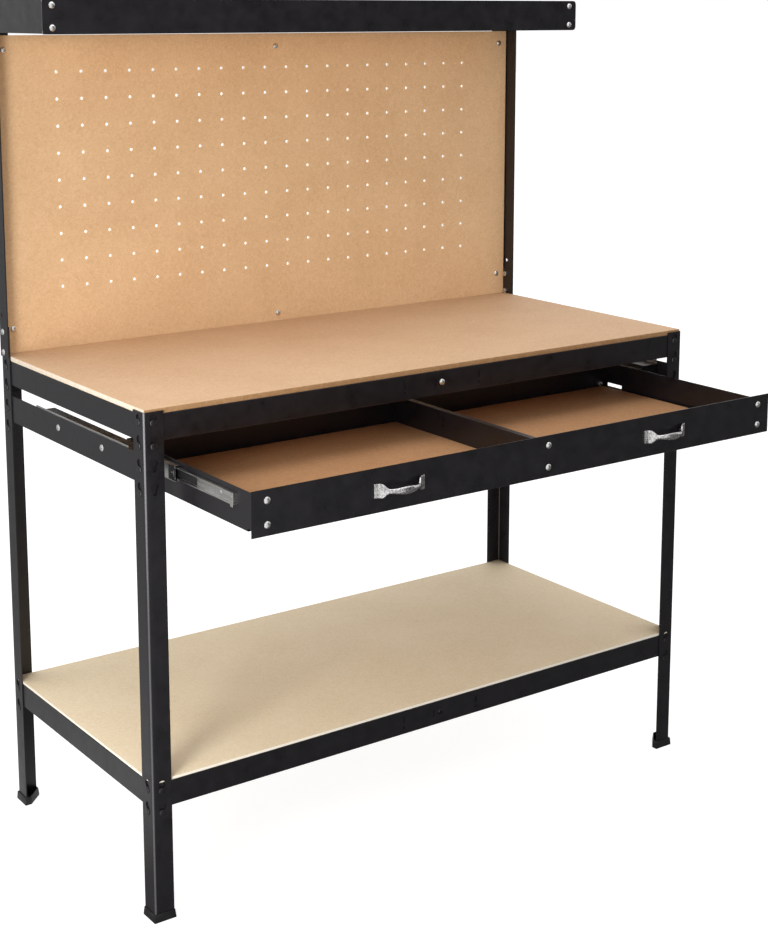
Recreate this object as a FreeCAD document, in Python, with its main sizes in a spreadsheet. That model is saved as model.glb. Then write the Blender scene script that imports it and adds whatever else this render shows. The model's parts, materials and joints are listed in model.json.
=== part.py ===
import FreeCAD, Part
import math
import os
import Sketcher

# Workbench: a folded-steel frame with a worktop, a lower shelf, a pegboard, a top tray and one
# wide two-compartment drawer on ball-bearing slides. Millimetres, +Z up, front towards -Y.
# Steel pieces are sheets folded along one outline, so most bodies are a folded section and pads.

SIZES = [
    ("frame_width", 1200, "outside of the legs, left to right"),
    ("frame_depth", 560, "outside of the legs, front to rear"),
    ("leg_flange", 36, "width of each side of a leg angle"),
    ("leg_sheet", 2, "thickness of legs and posts"),
    ("leg_top_gap", 4, "top of a front leg below the top of the worktop"),
    ("rear_leg_rise", 55, "top of a rear leg above the worktop"),
    ("cap_wall", 2.5, "wall of a foot cap"),
    ("cap_floor", 3, "floor of a foot cap"),
    ("cap_height", 15, "height of a foot cap"),
    ("cap_clearance", 0.3, "between a leg and its foot cap"),
    ("cap_corner", 7, "straight edge of a foot cap beside its slanting side"),
    ("worktop_height", 880, "top of the worktop above the floor"),
    ("worktop_thick", 9, "worktop board"),
    ("shelf_height", 250, "top of the lower shelf above the floor"),
    ("shelf_thick", 5, "lower shelf board"),
    ("board_clearance", 0.5, "between a board and the legs round it"),
    ("beam_height", 45, "web of a beam"),
    ("beam_sheet", 1.5, "thickness of a beam"),
    ("beam_flange", 25, "top flange that carries a board"),
    ("beam_lip", 8, "bottom lip of a beam"),
    ("beam_end_gap", 1.2, "end of a beam web from the leg beside it"),
    ("corner_gap", 1, "between folded edges that meet in a corner"),
    ("lug_width", 30, "hooked end of a beam web"),
    ("lug_drop", 16, "hooked end below the rest of the web"),
    ("stud_pitch", 39, "between the studs and keyholes of a leg"),
    ("upper_keyholes", 4, "keyholes under the worktop: beam, beam, side rail and a spare"),
    ("lower_keyholes", 2, "keyholes under the shelf"),
    ("beam_studs", 2, "studs at each end of a beam"),
    ("stud_from_top", 13, "upper stud below the top of its beam"),
    ("stud_offset", 18, "studs and keyholes from the corner of a leg"),
    ("stud_shank", 3.4, "radius of a stud's shank"),
    ("stud_head", 6, "radius of a stud's head"),
    ("stud_head_thick", 1.8, "thickness of a stud's head"),
    ("keyhole_slot", 3.8, "half width of a keyhole's slot"),
    ("keyhole_entry", 6.6, "half width of a keyhole's entry"),
    ("keyhole_rise", 11, "entry above the seat of a keyhole"),
    ("post_rise", 646, "top of the upper posts above the worktop"),
    ("post_overlap", 58, "upper post beside the rear leg"),
    ("post_bolt_low", 8, "lower joint bolt above the end of the post"),
    ("post_bolt_pitch", 38, "between the bolts of a pair"),
    ("post_bolt_offset", 14, "joint bolts in front of the rear of the leg"),
    ("spare_hole_rise", 31, "spare hole above the upper joint bolt"),
    ("tray_height", 60, "sides of the top tray"),
    ("tray_reach", 229.5, "front of the tray from the rear of the frame"),
    ("tray_sheet", 1.2, "sheet of the tray"),
    ("tray_flange", 20, "flange under the tray's board"),
    ("tray_tab", 34, "front tab of a tray end"),
    ("tray_corner", 8, "rounded corners of the tray's front"),
    ("tray_bolt_offset", 18, "front bolts from the end of the tray"),
    ("tray_board_thick", 3, "board in the top tray"),
    ("tray_board_front", 10, "board of the tray behind its front, clear of the bolts"),
    ("pegboard_thick", 4, "pegboard"),
    ("pegboard_drop", 64, "top of the pegboard below the top of the posts"),
    ("peg_pitch", 50, "between the peg holes"),
    ("peg_columns", 20, "peg holes in a row"),
    ("peg_rows", 9, "rows of peg holes"),
    ("peg_first", 115, "lowest row above the worktop"),
    ("peg_half", 2.4, "half width of a peg hole, drawn with four sides as it repeats so often"),
    ("rail_height", 30, "rail behind the top of the pegboard"),
    ("rail_flange", 12, "flanges of that rail"),
    ("board_screw_top", 26, "upper pegboard screws below the top of the pegboard"),
    ("board_screw_low", 44.5, "lower corner screws above the worktop"),
    ("board_screw_mid", 15, "lower middle screw above the worktop"),
    ("board_screw_offset", 23, "corner screws from the outside of the legs"),
    ("strap_width", 40, "strap behind the middle of the pegboard"),
    ("strap_rise", 28, "strap above the worktop"),
    ("brace_width", 30, "brace under the middle of a board"),
    ("brace_depth", 24, "sides of that brace"),
    ("brace_tab", 17, "wide end plate of a brace below its bolt"),
    ("brace_plate_edge", 12, "that plate beyond the outer slots of its beam"),
    ("brace_bolt_drop", 22, "brace bolt below the top of its beam"),
    ("slot_width", 5, "spare slots of the long beams"),
    ("slot_length", 15, "height of those slots"),
    ("slot_spread", 84, "outer slots from the middle"),
    ("drawer_out", 265, "how far the drawer stands out at rest"),
    ("plate_gap", 2, "drawer front plate beside the legs"),
    ("plate_height", 73, "drawer front plate"),
    ("plate_drop", 150, "bottom of the drawer below the top of the worktop"),
    ("drawer_sheet", 1.2, "sheet of the drawer"),
    ("drawer_depth", 430, "drawer, front to rear"),
    ("side_inset", 15, "outside of a drawer side from the end of the plate"),
    ("side_height", 63, "sides and back of the drawer"),
    ("drawer_flange", 14, "boxed lower edge of the drawer, its width"),
    ("drawer_lip", 11, "boxed lower edge of the drawer, its height"),
    ("tab_width", 26, "end tabs of the drawer sides"),
    ("tab_clearance", 3, "end tab above the boxed edge"),
    ("drawer_bolt_pitch", 38, "between the bolts of a drawer pair"),
    ("drawer_bolt_inset", 28, "corner bolts from the end of the plate"),
    ("drawer_board_thick", 3, "bottom board of the drawer"),
    ("drawer_board_gap", 9, "bottom board from the drawer's plates"),
    ("divider_place", 8, "divider to the right of the middle"),
    ("divider_flange", 12, "top flange of the divider"),
    ("notch_length", 35, "notch under the front of a drawer side"),
    ("notch_height", 5, "height of that notch"),
    ("window_length", 42, "slot near the rear of a drawer side"),
    ("window_height", 7, "height of that slot"),
    ("window_rear", 12, "slot from the rear of the drawer"),
    ("handle_place", 291, "middle of a handle from the middle of the drawer"),
    ("handle_pitch", 84, "between the feet of a handle"),
    ("handle_foot_width", 14, "foot plate of a handle"),
    ("handle_foot_height", 24, "foot plate of a handle"),
    ("handle_foot_thick", 2, "foot plate of a handle"),
    ("handle_reach", 28, "front of a handle from the plate"),
    ("handle_neck", 4, "half height of a handle at its necks"),
    ("handle_middle", 6, "half height of a handle at its middle"),
    ("handle_thick", 3.5, "half thickness of a handle"),
    ("slide_rear", 14, "closed slide in front of the rear of the drawer"),
    ("slide_front", 66, "slide behind the front of the drawer"),
    ("slide_drop", 105, "slide below the top of the worktop"),
    ("slide_sheet", 1.2, "sheet of the slide members"),
    ("slide_depth", 12.7, "whole thickness of a slide"),
    ("outer_half", 17.5, "half height of the outer member"),
    ("outer_deep", 9.6, "depth of the outer member"),
    ("outer_lip", 2.9, "lips of the outer member, from its edges"),
    ("middle_half", 13.6, "half height of the middle member"),
    ("middle_web", 2.4, "middle member from the outer one's back"),
    ("middle_deep", 8.9, "depth of the middle member"),
    ("middle_set", 45, "front of the closed middle member behind the others"),
    ("inner_half", 9.6, "half height of the inner member"),
    ("inner_deep", 7.4, "depth of the inner member"),
    ("cage_sheet", 0.6, "ball cage"),
    ("cage_deep", 6.4, "depth of a ball cage"),
    ("cage_length", 120, "length of a ball cage"),
    ("inner_cage_set", 25, "inner cage behind the middle of the closed slide"),
    ("outer_cage_web", 1.5, "outer cage from the outer member's back"),
    ("inner_cage_web", 3.9, "inner cage from the outer member's back"),
    ("plate_rail_height", 49, "side rail that carries a slide"),
    ("rail_hook_drop", 27, "hooked ends of a side rail below the rest of it"),
    ("rail_return", 28, "ends of a side rail folded in behind the legs"),
    ("bracket_drop", 7, "top of a slide bracket below the top of its rail"),
    ("plate_rail_drop", 123, "bottom of that rail below the top of the worktop"),
    ("bracket_extra", 4, "slide bracket beyond each end of the slide"),
    ("bracket_wall", 26, "outer wall of a slide bracket"),
    ("rail_bolt_inset", 90, "rail bolts from the ends of the slide"),
    ("bolt_neck", 2.5, "half width of the square neck under a bolt's head"),
    ("neck_clearance", 0.4, "round that neck in its square hole"),
    ("bolt_head", 6, "radius of a bolt head"),
    ("bolt_head_thick", 3, "height of a bolt head"),
    ("nut_radius", 5.5, "nut, to its corners"),
    ("nut_thick", 4, "height of a nut"),
]


class Size:
    """A length of the sheet, or a sum, difference or share of such lengths, as value and as text."""

    def __init__(self, text, value):
        self.text = text
        self.value = value

    def __add__(self, other):
        other = as_size(other)
        return Size(f"({self.text} + {other.text})", self.value + other.value)

    def __sub__(self, other):
        other = as_size(other)
        return Size(f"({self.text} - {other.text})", self.value - other.value)

    def __mul__(self, factor):
        return Size(f"({self.text} * {factor})", self.value * factor)

    def __neg__(self):
        return Size(f"(0 - {self.text})", -self.value)

    __radd__ = __add__

    def __rsub__(self, other):
        return as_size(other) - self


def as_size(number):
    return number if isinstance(number, Size) else Size(str(number), float(number))


class Sheet:
    """The driving dimensions: each one is a named cell here and a Size for the model."""


doc = FreeCAD.newDocument("Workbench")
cells = doc.addObject("Spreadsheet::Sheet", "Sizes")
S = Sheet()
for row, (alias, number, note) in enumerate(SIZES, start=1):
    cells.set(f"A{row}", note)
    cells.set(f"B{row}", str(number))
    cells.setAlias(f"B{row}", alias)
    setattr(S, alias, Size(f"Sizes.{alias}", float(number)))
doc.recompute()

FRONT = FreeCAD.Rotation()
LEFTWARD = FreeCAD.Rotation(FreeCAD.Vector(0, 0, 1), 90)
REAR = FreeCAD.Rotation(FreeCAD.Vector(0, 0, 1), 180)
RIGHTWARD = FreeCAD.Rotation(FreeCAD.Vector(0, 0, 1), 270)
ZERO = as_size(0)
nodes = []


# Places shared by several pieces. Depths run from the front of the legs to the rear.
half_width = S.frame_width * 0.5
inside_x = half_width - S.leg_sheet
rear_inside = S.frame_depth - S.leg_sheet
post_back = S.frame_depth + S.leg_sheet
post_x = half_width + S.leg_sheet
beam_top = S.worktop_height - S.worktop_thick
shelf_top = S.shelf_height - S.shelf_thick
post_top = S.worktop_height + S.post_rise
post_low = S.worktop_height + S.rear_leg_rise - S.post_overlap
joint_bolts = [post_low + S.post_bolt_low, post_low + S.post_bolt_low + S.post_bolt_pitch]
post_bolt_y = S.frame_depth - S.post_bolt_offset
spare_hole = joint_bolts[1] + S.spare_hole_rise
tray_low = post_top - S.tray_height
tray_bolts = [tray_low + (S.tray_height - S.post_bolt_pitch) * 0.5]
tray_bolts.append(tray_bolts[0] + S.post_bolt_pitch)
tray_front_y = S.frame_depth - S.tray_reach
peg_back = rear_inside
peg_face = peg_back - S.pegboard_thick
pegboard_top = post_top - S.pegboard_drop
screw_top = pegboard_top - S.board_screw_top
screw_low = S.worktop_height + S.board_screw_low
screw_mid = S.worktop_height + S.board_screw_mid
screw_x = half_width - S.board_screw_offset
drawer_width = (half_width - S.leg_flange - S.plate_gap) * 2
half_drawer = drawer_width * 0.5
side_x = half_drawer - S.side_inset
plate_low = S.worktop_height - S.plate_drop
plate_mid = plate_low + S.plate_height * 0.5
drawer_bolts = [plate_mid - S.drawer_bolt_pitch * 0.5, plate_mid + S.drawer_bolt_pitch * 0.5]
drawer_bolt_x = half_drawer - S.drawer_bolt_inset
divider_bolt_x = S.divider_place + S.drawer_sheet + S.divider_flange
board_rest = plate_low + S.drawer_lip
slide_back = side_x + S.slide_depth
slide_length = S.drawer_depth - S.slide_front - S.slide_rear
slide_centre = S.worktop_height - S.slide_drop
plate_rail_low = S.worktop_height - S.plate_rail_drop
rail_top = plate_rail_low + S.plate_rail_height
bracket_top = rail_top - S.bracket_drop
rail_bolt_z = bracket_top - S.bracket_wall * 0.5
bolt_hole = S.bolt_neck + S.neck_clearance
rearmost = post_back + S.nut_thick
y_shift = (S.drawer_out + S.handle_reach - rearmost) * 0.5


def bind(item, name, size):
    """Tie one property of an object to the sheet."""
    item.setExpression(name, as_size(size).text)


def new_body(label):
    body = doc.addObject("PartDesign::Body", label)
    body.Label = label
    nodes.append(body)
    return body


def place(item, x, y, z, turn=FRONT):
    """Stand a piece in the frame: depths are measured from the front of the legs."""
    item.Placement = FreeCAD.Placement(FreeCAD.Vector(), turn)
    bind(item, "Placement.Base.x", x)
    bind(item, "Placement.Base.y", as_size(y) + y_shift)
    bind(item, "Placement.Base.z", z)


def new_sketch(body, role, offset=None):
    """A sketch on one of the body's own planes, or parallel to it."""
    sketch = body.newObject("Sketcher::SketchObject", "Sketch")
    origin_plane = next(f for f in body.Origin.OriginFeatures if f.Role == role)
    sketch.AttachmentSupport = [(origin_plane, "")]
    sketch.MapMode = "FlatFace"
    if offset is not None:
        bind(sketch, "AttachmentOffset.Base.z", offset)
    return sketch


def fix_point(sketch, line, end, x, y):
    """Hold one end of a line, or the centre of an arc, at a place tied to the sheet."""
    for kind, size in (("DistanceX", as_size(x)), ("DistanceY", as_size(y))):
        number = sketch.addConstraint(Sketcher.Constraint(kind, -1, 1, line, end, size.value))
        sketch.setExpression(f"Constraints[{number}]", size.text)


def add_polygon(sketch, corners):
    """A closed outline with each corner tied to the sheet."""
    spots = [FreeCAD.Vector(as_size(x).value, as_size(y).value, 0) for x, y in corners]
    first = sketch.GeometryCount
    count = len(spots)
    for i in range(count):
        sketch.addGeometry(Part.LineSegment(spots[i], spots[(i + 1) % count]))
    for i in range(count):
        follower = first + (i + 1) % count
        sketch.addConstraint(Sketcher.Constraint("Coincident", first + i, 2, follower, 1))
        fix_point(sketch, first + i, 1, *corners[i])


def add_box(sketch, x0, y0, x1, y1):
    add_polygon(sketch, [(x0, y0), (x1, y0), (x1, y1), (x0, y1)])


def add_hole(sketch, x, y, half=bolt_hole):
    """A square hole, as the square neck of a bolt needs."""
    add_box(sketch, x - half, y - half, x + half, y + half)


def add_slot(sketch, x, y_low, y_high, half):
    """An upright slot with pointed ends, from one end's middle to the other's."""
    add_polygon(sketch, [
        (x - half, y_low),
        (x, y_low - half),
        (x + half, y_low),
        (x + half, y_high),
        (x, y_high + half),
        (x - half, y_high),
    ])


def add_keyhole(sketch, x, seat):
    """A wide entry above a narrow slot, where the shank of a stud comes to rest."""
    slot = S.keyhole_slot
    wide = S.keyhole_entry
    centre = seat + S.keyhole_rise
    add_polygon(sketch, [
        (x - slot, seat - slot),
        (x + slot, seat - slot),
        (x + slot, centre - wide),
        (x + wide, centre),
        (x + slot, centre + wide),
        (x - slot, centre + wide),
        (x - wide, centre),
        (x - slot, centre - wide),
    ])


def extrude(body, sketch, length, away=False):
    pad = body.newObject("PartDesign::Pad", "Pad")
    pad.Profile = sketch
    pad.Reversed = away
    bind(pad, "Length", length)
    return pad


def cut_through(body, sketch):
    """Cut a sketch through everything on both sides of its plane."""
    before = body.Tip
    pocket = body.newObject("PartDesign::Pocket", "Pocket")
    pocket.Profile = sketch
    pocket.Type = "ThroughAll"
    pocket.Midplane = True
    doc.recompute()
    if pocket.Shape.Volume > before.Shape.Volume - 1e-6:
        raise RuntimeError(f"{body.Label}: a cut removed nothing")
    return pocket


def fold_sheet(body, role, path, sheet, length, away=False, round_folds=True):
    """A sheet folded along a square-cornered path: its face follows the path and its thickness
    lies to the left of the direction of travel. Folds are sharp inside and round outside."""
    sketch = new_sketch(body, role)
    sheet = as_size(sheet)
    points = [(as_size(x), as_size(y)) for x, y in path]
    steps = []
    for (x0, y0), (x1, y1) in zip(points, points[1:]):
        dx = x1.value - x0.value
        dy = y1.value - y0.value
        run = abs(dx) + abs(dy)
        steps.append((round(dx / run), round(dy / run)))
    turns = [a[0] * b[1] - a[1] * b[0] for a, b in zip(steps, steps[1:])]
    inner = offset_path(points, steps, sheet)
    outer_side = side_pieces(points, steps, [round_folds and turn > 0 for turn in turns], sheet)
    inner_side = side_pieces(inner, steps, [round_folds and turn < 0 for turn in turns], sheet)
    draw_loop(sketch, outer_side, inner_side)
    return extrude(body, sketch, length, away)


def offset_path(points, steps, sheet):
    """The path moved one sheet thickness to its left."""
    moved = []
    for i, (x, y) in enumerate(points):
        near = [steps[i - 1]] if i else []
        near += [steps[i]] if i < len(steps) else []
        shift_x = sum(set(-dy for dx, dy in near if dy))
        shift_y = sum(set(dx for dx, dy in near if dx))
        moved.append((x + sheet * shift_x, y + sheet * shift_y))
    return moved


def side_pieces(points, steps, rounded, sheet):
    """Lines along one face of a folded sheet, with an arc round the outside of each fold."""
    pieces = []
    start = points[0]
    for i, step in enumerate(steps):
        corner = points[i + 1]
        if i == len(rounded) or not rounded[i]:
            pieces.append(("line", start, corner, step))
            start = corner
            continue
        after = steps[i + 1]
        before_arc = (corner[0] - sheet * step[0], corner[1] - sheet * step[1])
        behind_arc = (corner[0] + sheet * after[0], corner[1] + sheet * after[1])
        centre = (before_arc[0] + sheet * after[0], before_arc[1] + sheet * after[1])
        turn = step[0] * after[1] - step[1] * after[0]
        pieces.append(("line", start, before_arc, step))
        pieces.append(("arc", before_arc, behind_arc, centre, sheet, turn))
        start = behind_arc
    return pieces


def draw_loop(sketch, outer_side, inner_side):
    """Close the two faces of a folded sheet with its cut ends, and hold every line."""
    for side in (outer_side, inner_side):
        draw_side(sketch, side)
    last_outer = len(outer_side) - 1
    first_inner = last_outer + 1
    last_inner = first_inner + len(inner_side) - 1
    outer_end = outer_side[-1][2]
    inner_end = inner_side[-1][2]
    outer_start = outer_side[0][1]
    inner_start = inner_side[0][1]
    close_end(sketch, last_outer, 2, last_inner, 2, outer_end, inner_end)
    close_end(sketch, 0, 1, first_inner, 1, outer_start, inner_start)


def vector(spot):
    return FreeCAD.Vector(spot[0].value, spot[1].value, 0)


def draw_side(sketch, side):
    up = FreeCAD.Vector(0, 0, 1)
    base = sketch.GeometryCount
    for piece in side:
        if piece[0] == "line":
            sketch.addGeometry(Part.LineSegment(vector(piece[1]), vector(piece[2])))
            continue
        kind, start, stop, centre, radius, turn = piece
        middle = vector(centre)
        first = vector(start) - middle if turn > 0 else vector(stop) - middle
        angle = math.atan2(first.y, first.x)
        circle = Part.Circle(middle, up, radius.value)
        sketch.addGeometry(Part.ArcOfCircle(circle, angle, angle + math.pi / 2))
    for i, piece in enumerate(side):
        here = base + i
        if piece[0] == "line":
            hold_line(sketch, here, piece)
            if i and side[i - 1][0] == "line":
                sketch.addConstraint(Sketcher.Constraint("Coincident", here - 1, 2, here, 1))
            continue
        turn = piece[5]
        enter, leave = (1, 2) if turn > 0 else (2, 1)
        sketch.addConstraint(Sketcher.Constraint("Tangent", here - 1, 2, here, enter))
        sketch.addConstraint(Sketcher.Constraint("Tangent", here, leave, here + 1, 1))
        number = sketch.addConstraint(Sketcher.Constraint("Radius", here, piece[4].value))
        sketch.setExpression(f"Constraints[{number}]", piece[4].text)


def hold_line(sketch, line, piece):
    """Keep a line square, at its distance from the body's origin."""
    level = piece[3][0] != 0
    square = "Horizontal" if level else "Vertical"
    kind = "DistanceY" if level else "DistanceX"
    size = piece[1][1] if level else piece[1][0]
    sketch.addConstraint(Sketcher.Constraint(square, line))
    number = sketch.addConstraint(Sketcher.Constraint(kind, -1, 1, line, 1, size.value))
    sketch.setExpression(f"Constraints[{number}]", size.text)


def close_end(sketch, line_a, end_a, line_b, end_b, spot_a, spot_b):
    """The cut end of a folded sheet, square to its faces."""
    number = sketch.addGeometry(Part.LineSegment(vector(spot_a), vector(spot_b)))
    sketch.addConstraint(Sketcher.Constraint("Coincident", line_a, end_a, number, 1))
    sketch.addConstraint(Sketcher.Constraint("Coincident", line_b, end_b, number, 2))
    level = abs(spot_a[1].value - spot_b[1].value) < 1e-6
    square = "Horizontal" if level else "Vertical"
    kind = "DistanceY" if level else "DistanceX"
    size = spot_a[1] if level else spot_a[0]
    sketch.addConstraint(Sketcher.Constraint(square, number))
    held = sketch.addConstraint(Sketcher.Constraint(kind, -1, 1, number, 1, size.value))
    sketch.setExpression(f"Constraints[{held}]", size.text)


def flat_panel(label, width, depth, thick):
    """A board lying flat, centred left to right, with its front edge on the origin."""
    body = new_body(label)
    sketch = new_sketch(body, "XY_Plane")
    add_box(sketch, -(width * 0.5), ZERO, width * 0.5, depth)
    extrude(body, sketch, thick)
    return body


# Legs, posts and foot caps
OTHER_FACE = {"XZ_Plane": "YZ_Plane", "YZ_Plane": "XZ_Plane"}


def add_leg(label, x, y, turn, top, side_role):
    """An angle with keyholes on both faces. Rear legs also take the bolts of the upper posts."""
    body = new_body(label)
    path = [(ZERO, S.leg_flange), (ZERO, ZERO), (S.leg_flange, ZERO)]
    fold_sheet(body, "XY_Plane", path, S.leg_sheet, top - S.cap_floor)
    seats = stud_heights(beam_top, S.upper_keyholes) + stud_heights(shelf_top, S.lower_keyholes)
    for role in OTHER_FACE:
        sketch = new_sketch(body, role)
        for seat in seats:
            add_keyhole(sketch, S.stud_offset, seat - S.cap_floor)
        cut_through(body, sketch)
    if side_role:
        add_leg_bolt_holes(body, side_role)
    place(body, x, y, S.cap_floor, turn)


def stud_heights(top, count):
    """Seats of the studs under the top of a beam, one pitch apart."""
    return [top - S.stud_from_top - S.stud_pitch * i for i in range(int(count.value))]


def add_leg_bolt_holes(body, side_role):
    """Joint bolts on the side face, and the pegboard's lower corner bolt on the rear face."""
    sketch = new_sketch(body, side_role)
    for height in joint_bolts:
        add_hole(sketch, S.post_bolt_offset, height - S.cap_floor)
    cut_through(body, sketch)
    sketch = new_sketch(body, OTHER_FACE[side_role])
    add_hole(sketch, S.board_screw_offset, screw_low - S.cap_floor)
    cut_through(body, sketch)


def add_post(label, x, turn, side_role):
    """An upper post: an angle outside the rear leg, up to the top of the tray."""
    body = new_body(label)
    width = S.leg_flange + S.leg_sheet
    path = [(ZERO, width), (ZERO, ZERO), (width, ZERO)]
    fold_sheet(body, "XY_Plane", path, S.leg_sheet, post_top - post_low)
    sketch = new_sketch(body, side_role)
    across = S.post_bolt_offset + S.leg_sheet
    for height in joint_bolts + tray_bolts + [spare_hole, screw_top]:
        add_hole(sketch, across, height - post_low)
    cut_through(body, sketch)
    sketch = new_sketch(body, OTHER_FACE[side_role])
    for height in (screw_low, screw_top):
        add_hole(sketch, S.board_screw_offset + S.leg_sheet, height - post_low)
    cut_through(body, sketch)
    place(body, x, post_back, post_low, turn)


def add_cap(label, x, y, turn):
    """A moulded shoe round the foot of a leg, closed by a slanting side across the angle."""
    body = new_body(label)
    gap = S.cap_clearance
    out = -(S.cap_wall + gap)
    far = S.leg_flange + gap + S.cap_wall
    near = S.cap_corner + S.cap_wall
    edge = S.leg_flange + gap
    slant = S.cap_corner
    sketch = new_sketch(body, "XY_Plane")
    add_polygon(sketch, [(out, out), (far, out), (far, near), (near, far), (out, far)])
    extrude(body, sketch, S.cap_height)
    hollow = new_sketch(body, "XY_Plane", S.cap_floor)
    add_polygon(hollow, [(-gap, -gap), (edge, -gap), (edge, slant), (slant, edge), (-gap, edge)])
    pocket = body.newObject("PartDesign::Pocket", "Pocket")
    pocket.Profile = hollow
    pocket.Reversed = True
    pocket.Type = "ThroughAll"
    place(body, x, y, ZERO, turn)


# Beams and braces
def add_beam(label, length, flange_cut, x, y, top, turn):
    """A web with a top flange for the board, a bottom lip and a hooked lug at each end."""
    body = new_body(label)
    high = S.beam_height
    path = [(S.beam_flange, high), (ZERO, high), (ZERO, ZERO), (S.beam_lip, ZERO)]
    fold_sheet(body, "YZ_Plane", path, S.beam_sheet, length)
    trim = new_sketch(body, "XY_Plane")
    far = S.beam_flange + S.corner_gap
    add_box(trim, -S.corner_gap, S.beam_sheet, flange_cut, far)
    add_box(trim, length - flange_cut, S.beam_sheet, length + S.corner_gap, far)
    cut_through(body, trim)
    lugs = new_sketch(body, "XZ_Plane")
    low = -S.lug_drop
    lap = S.beam_sheet * 2
    add_box(lugs, ZERO, low, S.lug_width, lap)
    add_box(lugs, length - S.lug_width, low, length, lap)
    extrude(body, lugs, S.beam_sheet, True)
    place(body, x, y, top - high, turn)
    return body


def add_beam_ring(name, top):
    """Four beams under one board. The side beams stop clear of the long ones."""
    long_length = (inside_x - S.beam_end_gap) * 2
    side_start = S.leg_sheet + S.beam_sheet + S.corner_gap
    side_length = S.frame_depth - side_start * 2
    long_cut = S.beam_sheet + S.corner_gap
    side_cut = S.leg_sheet + S.beam_flange + S.corner_gap - side_start
    long_x = inside_x - S.beam_end_gap
    front = add_beam(f"{name}_front_beam", long_length, long_cut, -long_x, S.leg_sheet, top, FRONT)
    rear = add_beam(f"{name}_rear_beam", long_length, long_cut, long_x, rear_inside, top, REAR)
    add_beam(f"{name}_right_beam", side_length, side_cut, inside_x, side_start, top, LEFTWARD)
    left_y = S.frame_depth - side_start
    add_beam(f"{name}_left_beam", side_length, side_cut, -inside_x, left_y, top, RIGHTWARD)
    middle = long_length * 0.5
    add_beam_openings(front, middle)
    add_rear_beam_openings(rear, middle)


def add_beam_openings(body, middle):
    """The brace bolt in the middle, a plain slot beside it and a slot with a hole further out."""
    sketch = new_sketch(body, "XZ_Plane")
    bolt = S.beam_height - S.brace_bolt_drop
    half = S.slot_width * 0.5
    rise = S.slot_length * 0.5 - half
    add_hole(sketch, middle, bolt)
    add_slot(sketch, middle - S.slot_length, bolt - rise, bolt + rise, half)
    for side in (-1, 1):
        across = middle + S.slot_spread * side
        add_slot(sketch, across, bolt, bolt + rise * 2, half)
        add_hole(sketch, across, bolt - S.slot_width * 2, half)
    cut_through(body, sketch)


def add_rear_beam_openings(body, middle):
    sketch = new_sketch(body, "XZ_Plane")
    add_hole(sketch, middle, S.beam_height - S.brace_bolt_drop)
    cut_through(body, sketch)


def add_brace(label, top):
    """A channel from the front beam to the rear one, with a wide plate bolted to each."""
    body = new_body(label)
    start = S.leg_sheet + S.beam_sheet
    length = S.frame_depth - start * 2
    half = S.brace_width * 0.5
    high = S.brace_depth
    path = [(half, ZERO), (half, high), (-half, high), (-half, ZERO)]
    fold_sheet(body, "XZ_Plane", path, S.beam_sheet, length, True)
    tabs = new_sketch(body, "XZ_Plane")
    reach = S.slot_spread + S.brace_plate_edge
    drop = S.brace_bolt_drop - S.beam_sheet + S.brace_tab
    add_box(tabs, -reach, high - drop, reach, high - S.beam_sheet * 0.5)
    extrude(body, tabs, S.beam_sheet, True)
    back = new_sketch(body, "XZ_Plane", -length)
    add_box(back, -reach, high - drop, reach, high - S.beam_sheet * 0.5)
    extrude(body, back, S.beam_sheet)
    holes = new_sketch(body, "XZ_Plane")
    add_hole(holes, ZERO, high + S.beam_sheet - S.brace_bolt_drop)
    cut_through(body, holes)
    place(body, ZERO, start, top - S.beam_sheet - high)


# Pegboard and what stands behind it
def add_pegboard():
    body = new_body("pegboard")
    low = beam_top
    half = inside_x - S.board_clearance
    sketch = new_sketch(body, "XZ_Plane")
    add_box(sketch, -half, ZERO, half, pegboard_top - low)
    extrude(body, sketch, S.pegboard_thick, True)
    screws = new_sketch(body, "XZ_Plane")
    for across in (-screw_x, screw_x):
        for height in (screw_low, screw_top):
            add_hole(screws, across, height - low)
    for height in (screw_mid, screw_top):
        add_hole(screws, ZERO, height - low)
    cut_through(body, screws)
    first = new_sketch(body, "XZ_Plane")
    start = -((S.peg_columns - 1) * 0.5).value * S.peg_pitch.value
    start = Size(f"(0 - (Sizes.peg_columns - 1) * Sizes.peg_pitch * 0.5)", start)
    add_hole(first, start, S.peg_first + S.worktop_thick, S.peg_half)
    hole = cut_through(body, first)
    grid = body.newObject("PartDesign::MultiTransform", "PegHoles")
    grid.Originals = [hole]
    across = peg_pattern(body, first, "H_Axis", S.peg_columns)
    upward = peg_pattern(body, first, "V_Axis", S.peg_rows)
    grid.Transformations = [across, upward]
    body.Tip = grid
    place(body, ZERO, peg_face, low)


def peg_pattern(body, sketch, axis, count):
    pattern = body.newObject("PartDesign::LinearPattern", "Pattern")
    pattern.Direction = (sketch, [axis])
    pattern.setExpression("Occurrences", count.text)
    pattern.setExpression("Length", f"({count.text} - 1) * Sizes.peg_pitch")
    return pattern


def add_pegboard_rail():
    """A channel behind the top of the pegboard. Its plain ends lie in front of the posts."""
    body = new_body("pegboard_rail")
    half = inside_x - S.board_clearance
    clear = half_width - S.leg_flange - S.corner_gap
    high = S.rail_height
    deep = S.rail_flange
    sheet = S.leg_sheet
    path = [(deep, high), (ZERO, high), (ZERO, ZERO), (deep, ZERO)]
    fold_sheet(body, "YZ_Plane", path, sheet, half * 2)
    trim = new_sketch(body, "XY_Plane")
    edge = half - clear
    for start in (-S.corner_gap, half * 2 - edge):
        add_box(trim, start, sheet, start + edge + S.corner_gap, deep + S.corner_gap)
    cut_through(body, trim)
    holes = new_sketch(body, "XZ_Plane")
    low = screw_top - high * 0.5
    for across in (half - screw_x, half, half + screw_x):
        add_hole(holes, across, screw_top - low)
    cut_through(body, holes)
    place(body, -half, rear_inside, low)


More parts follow.
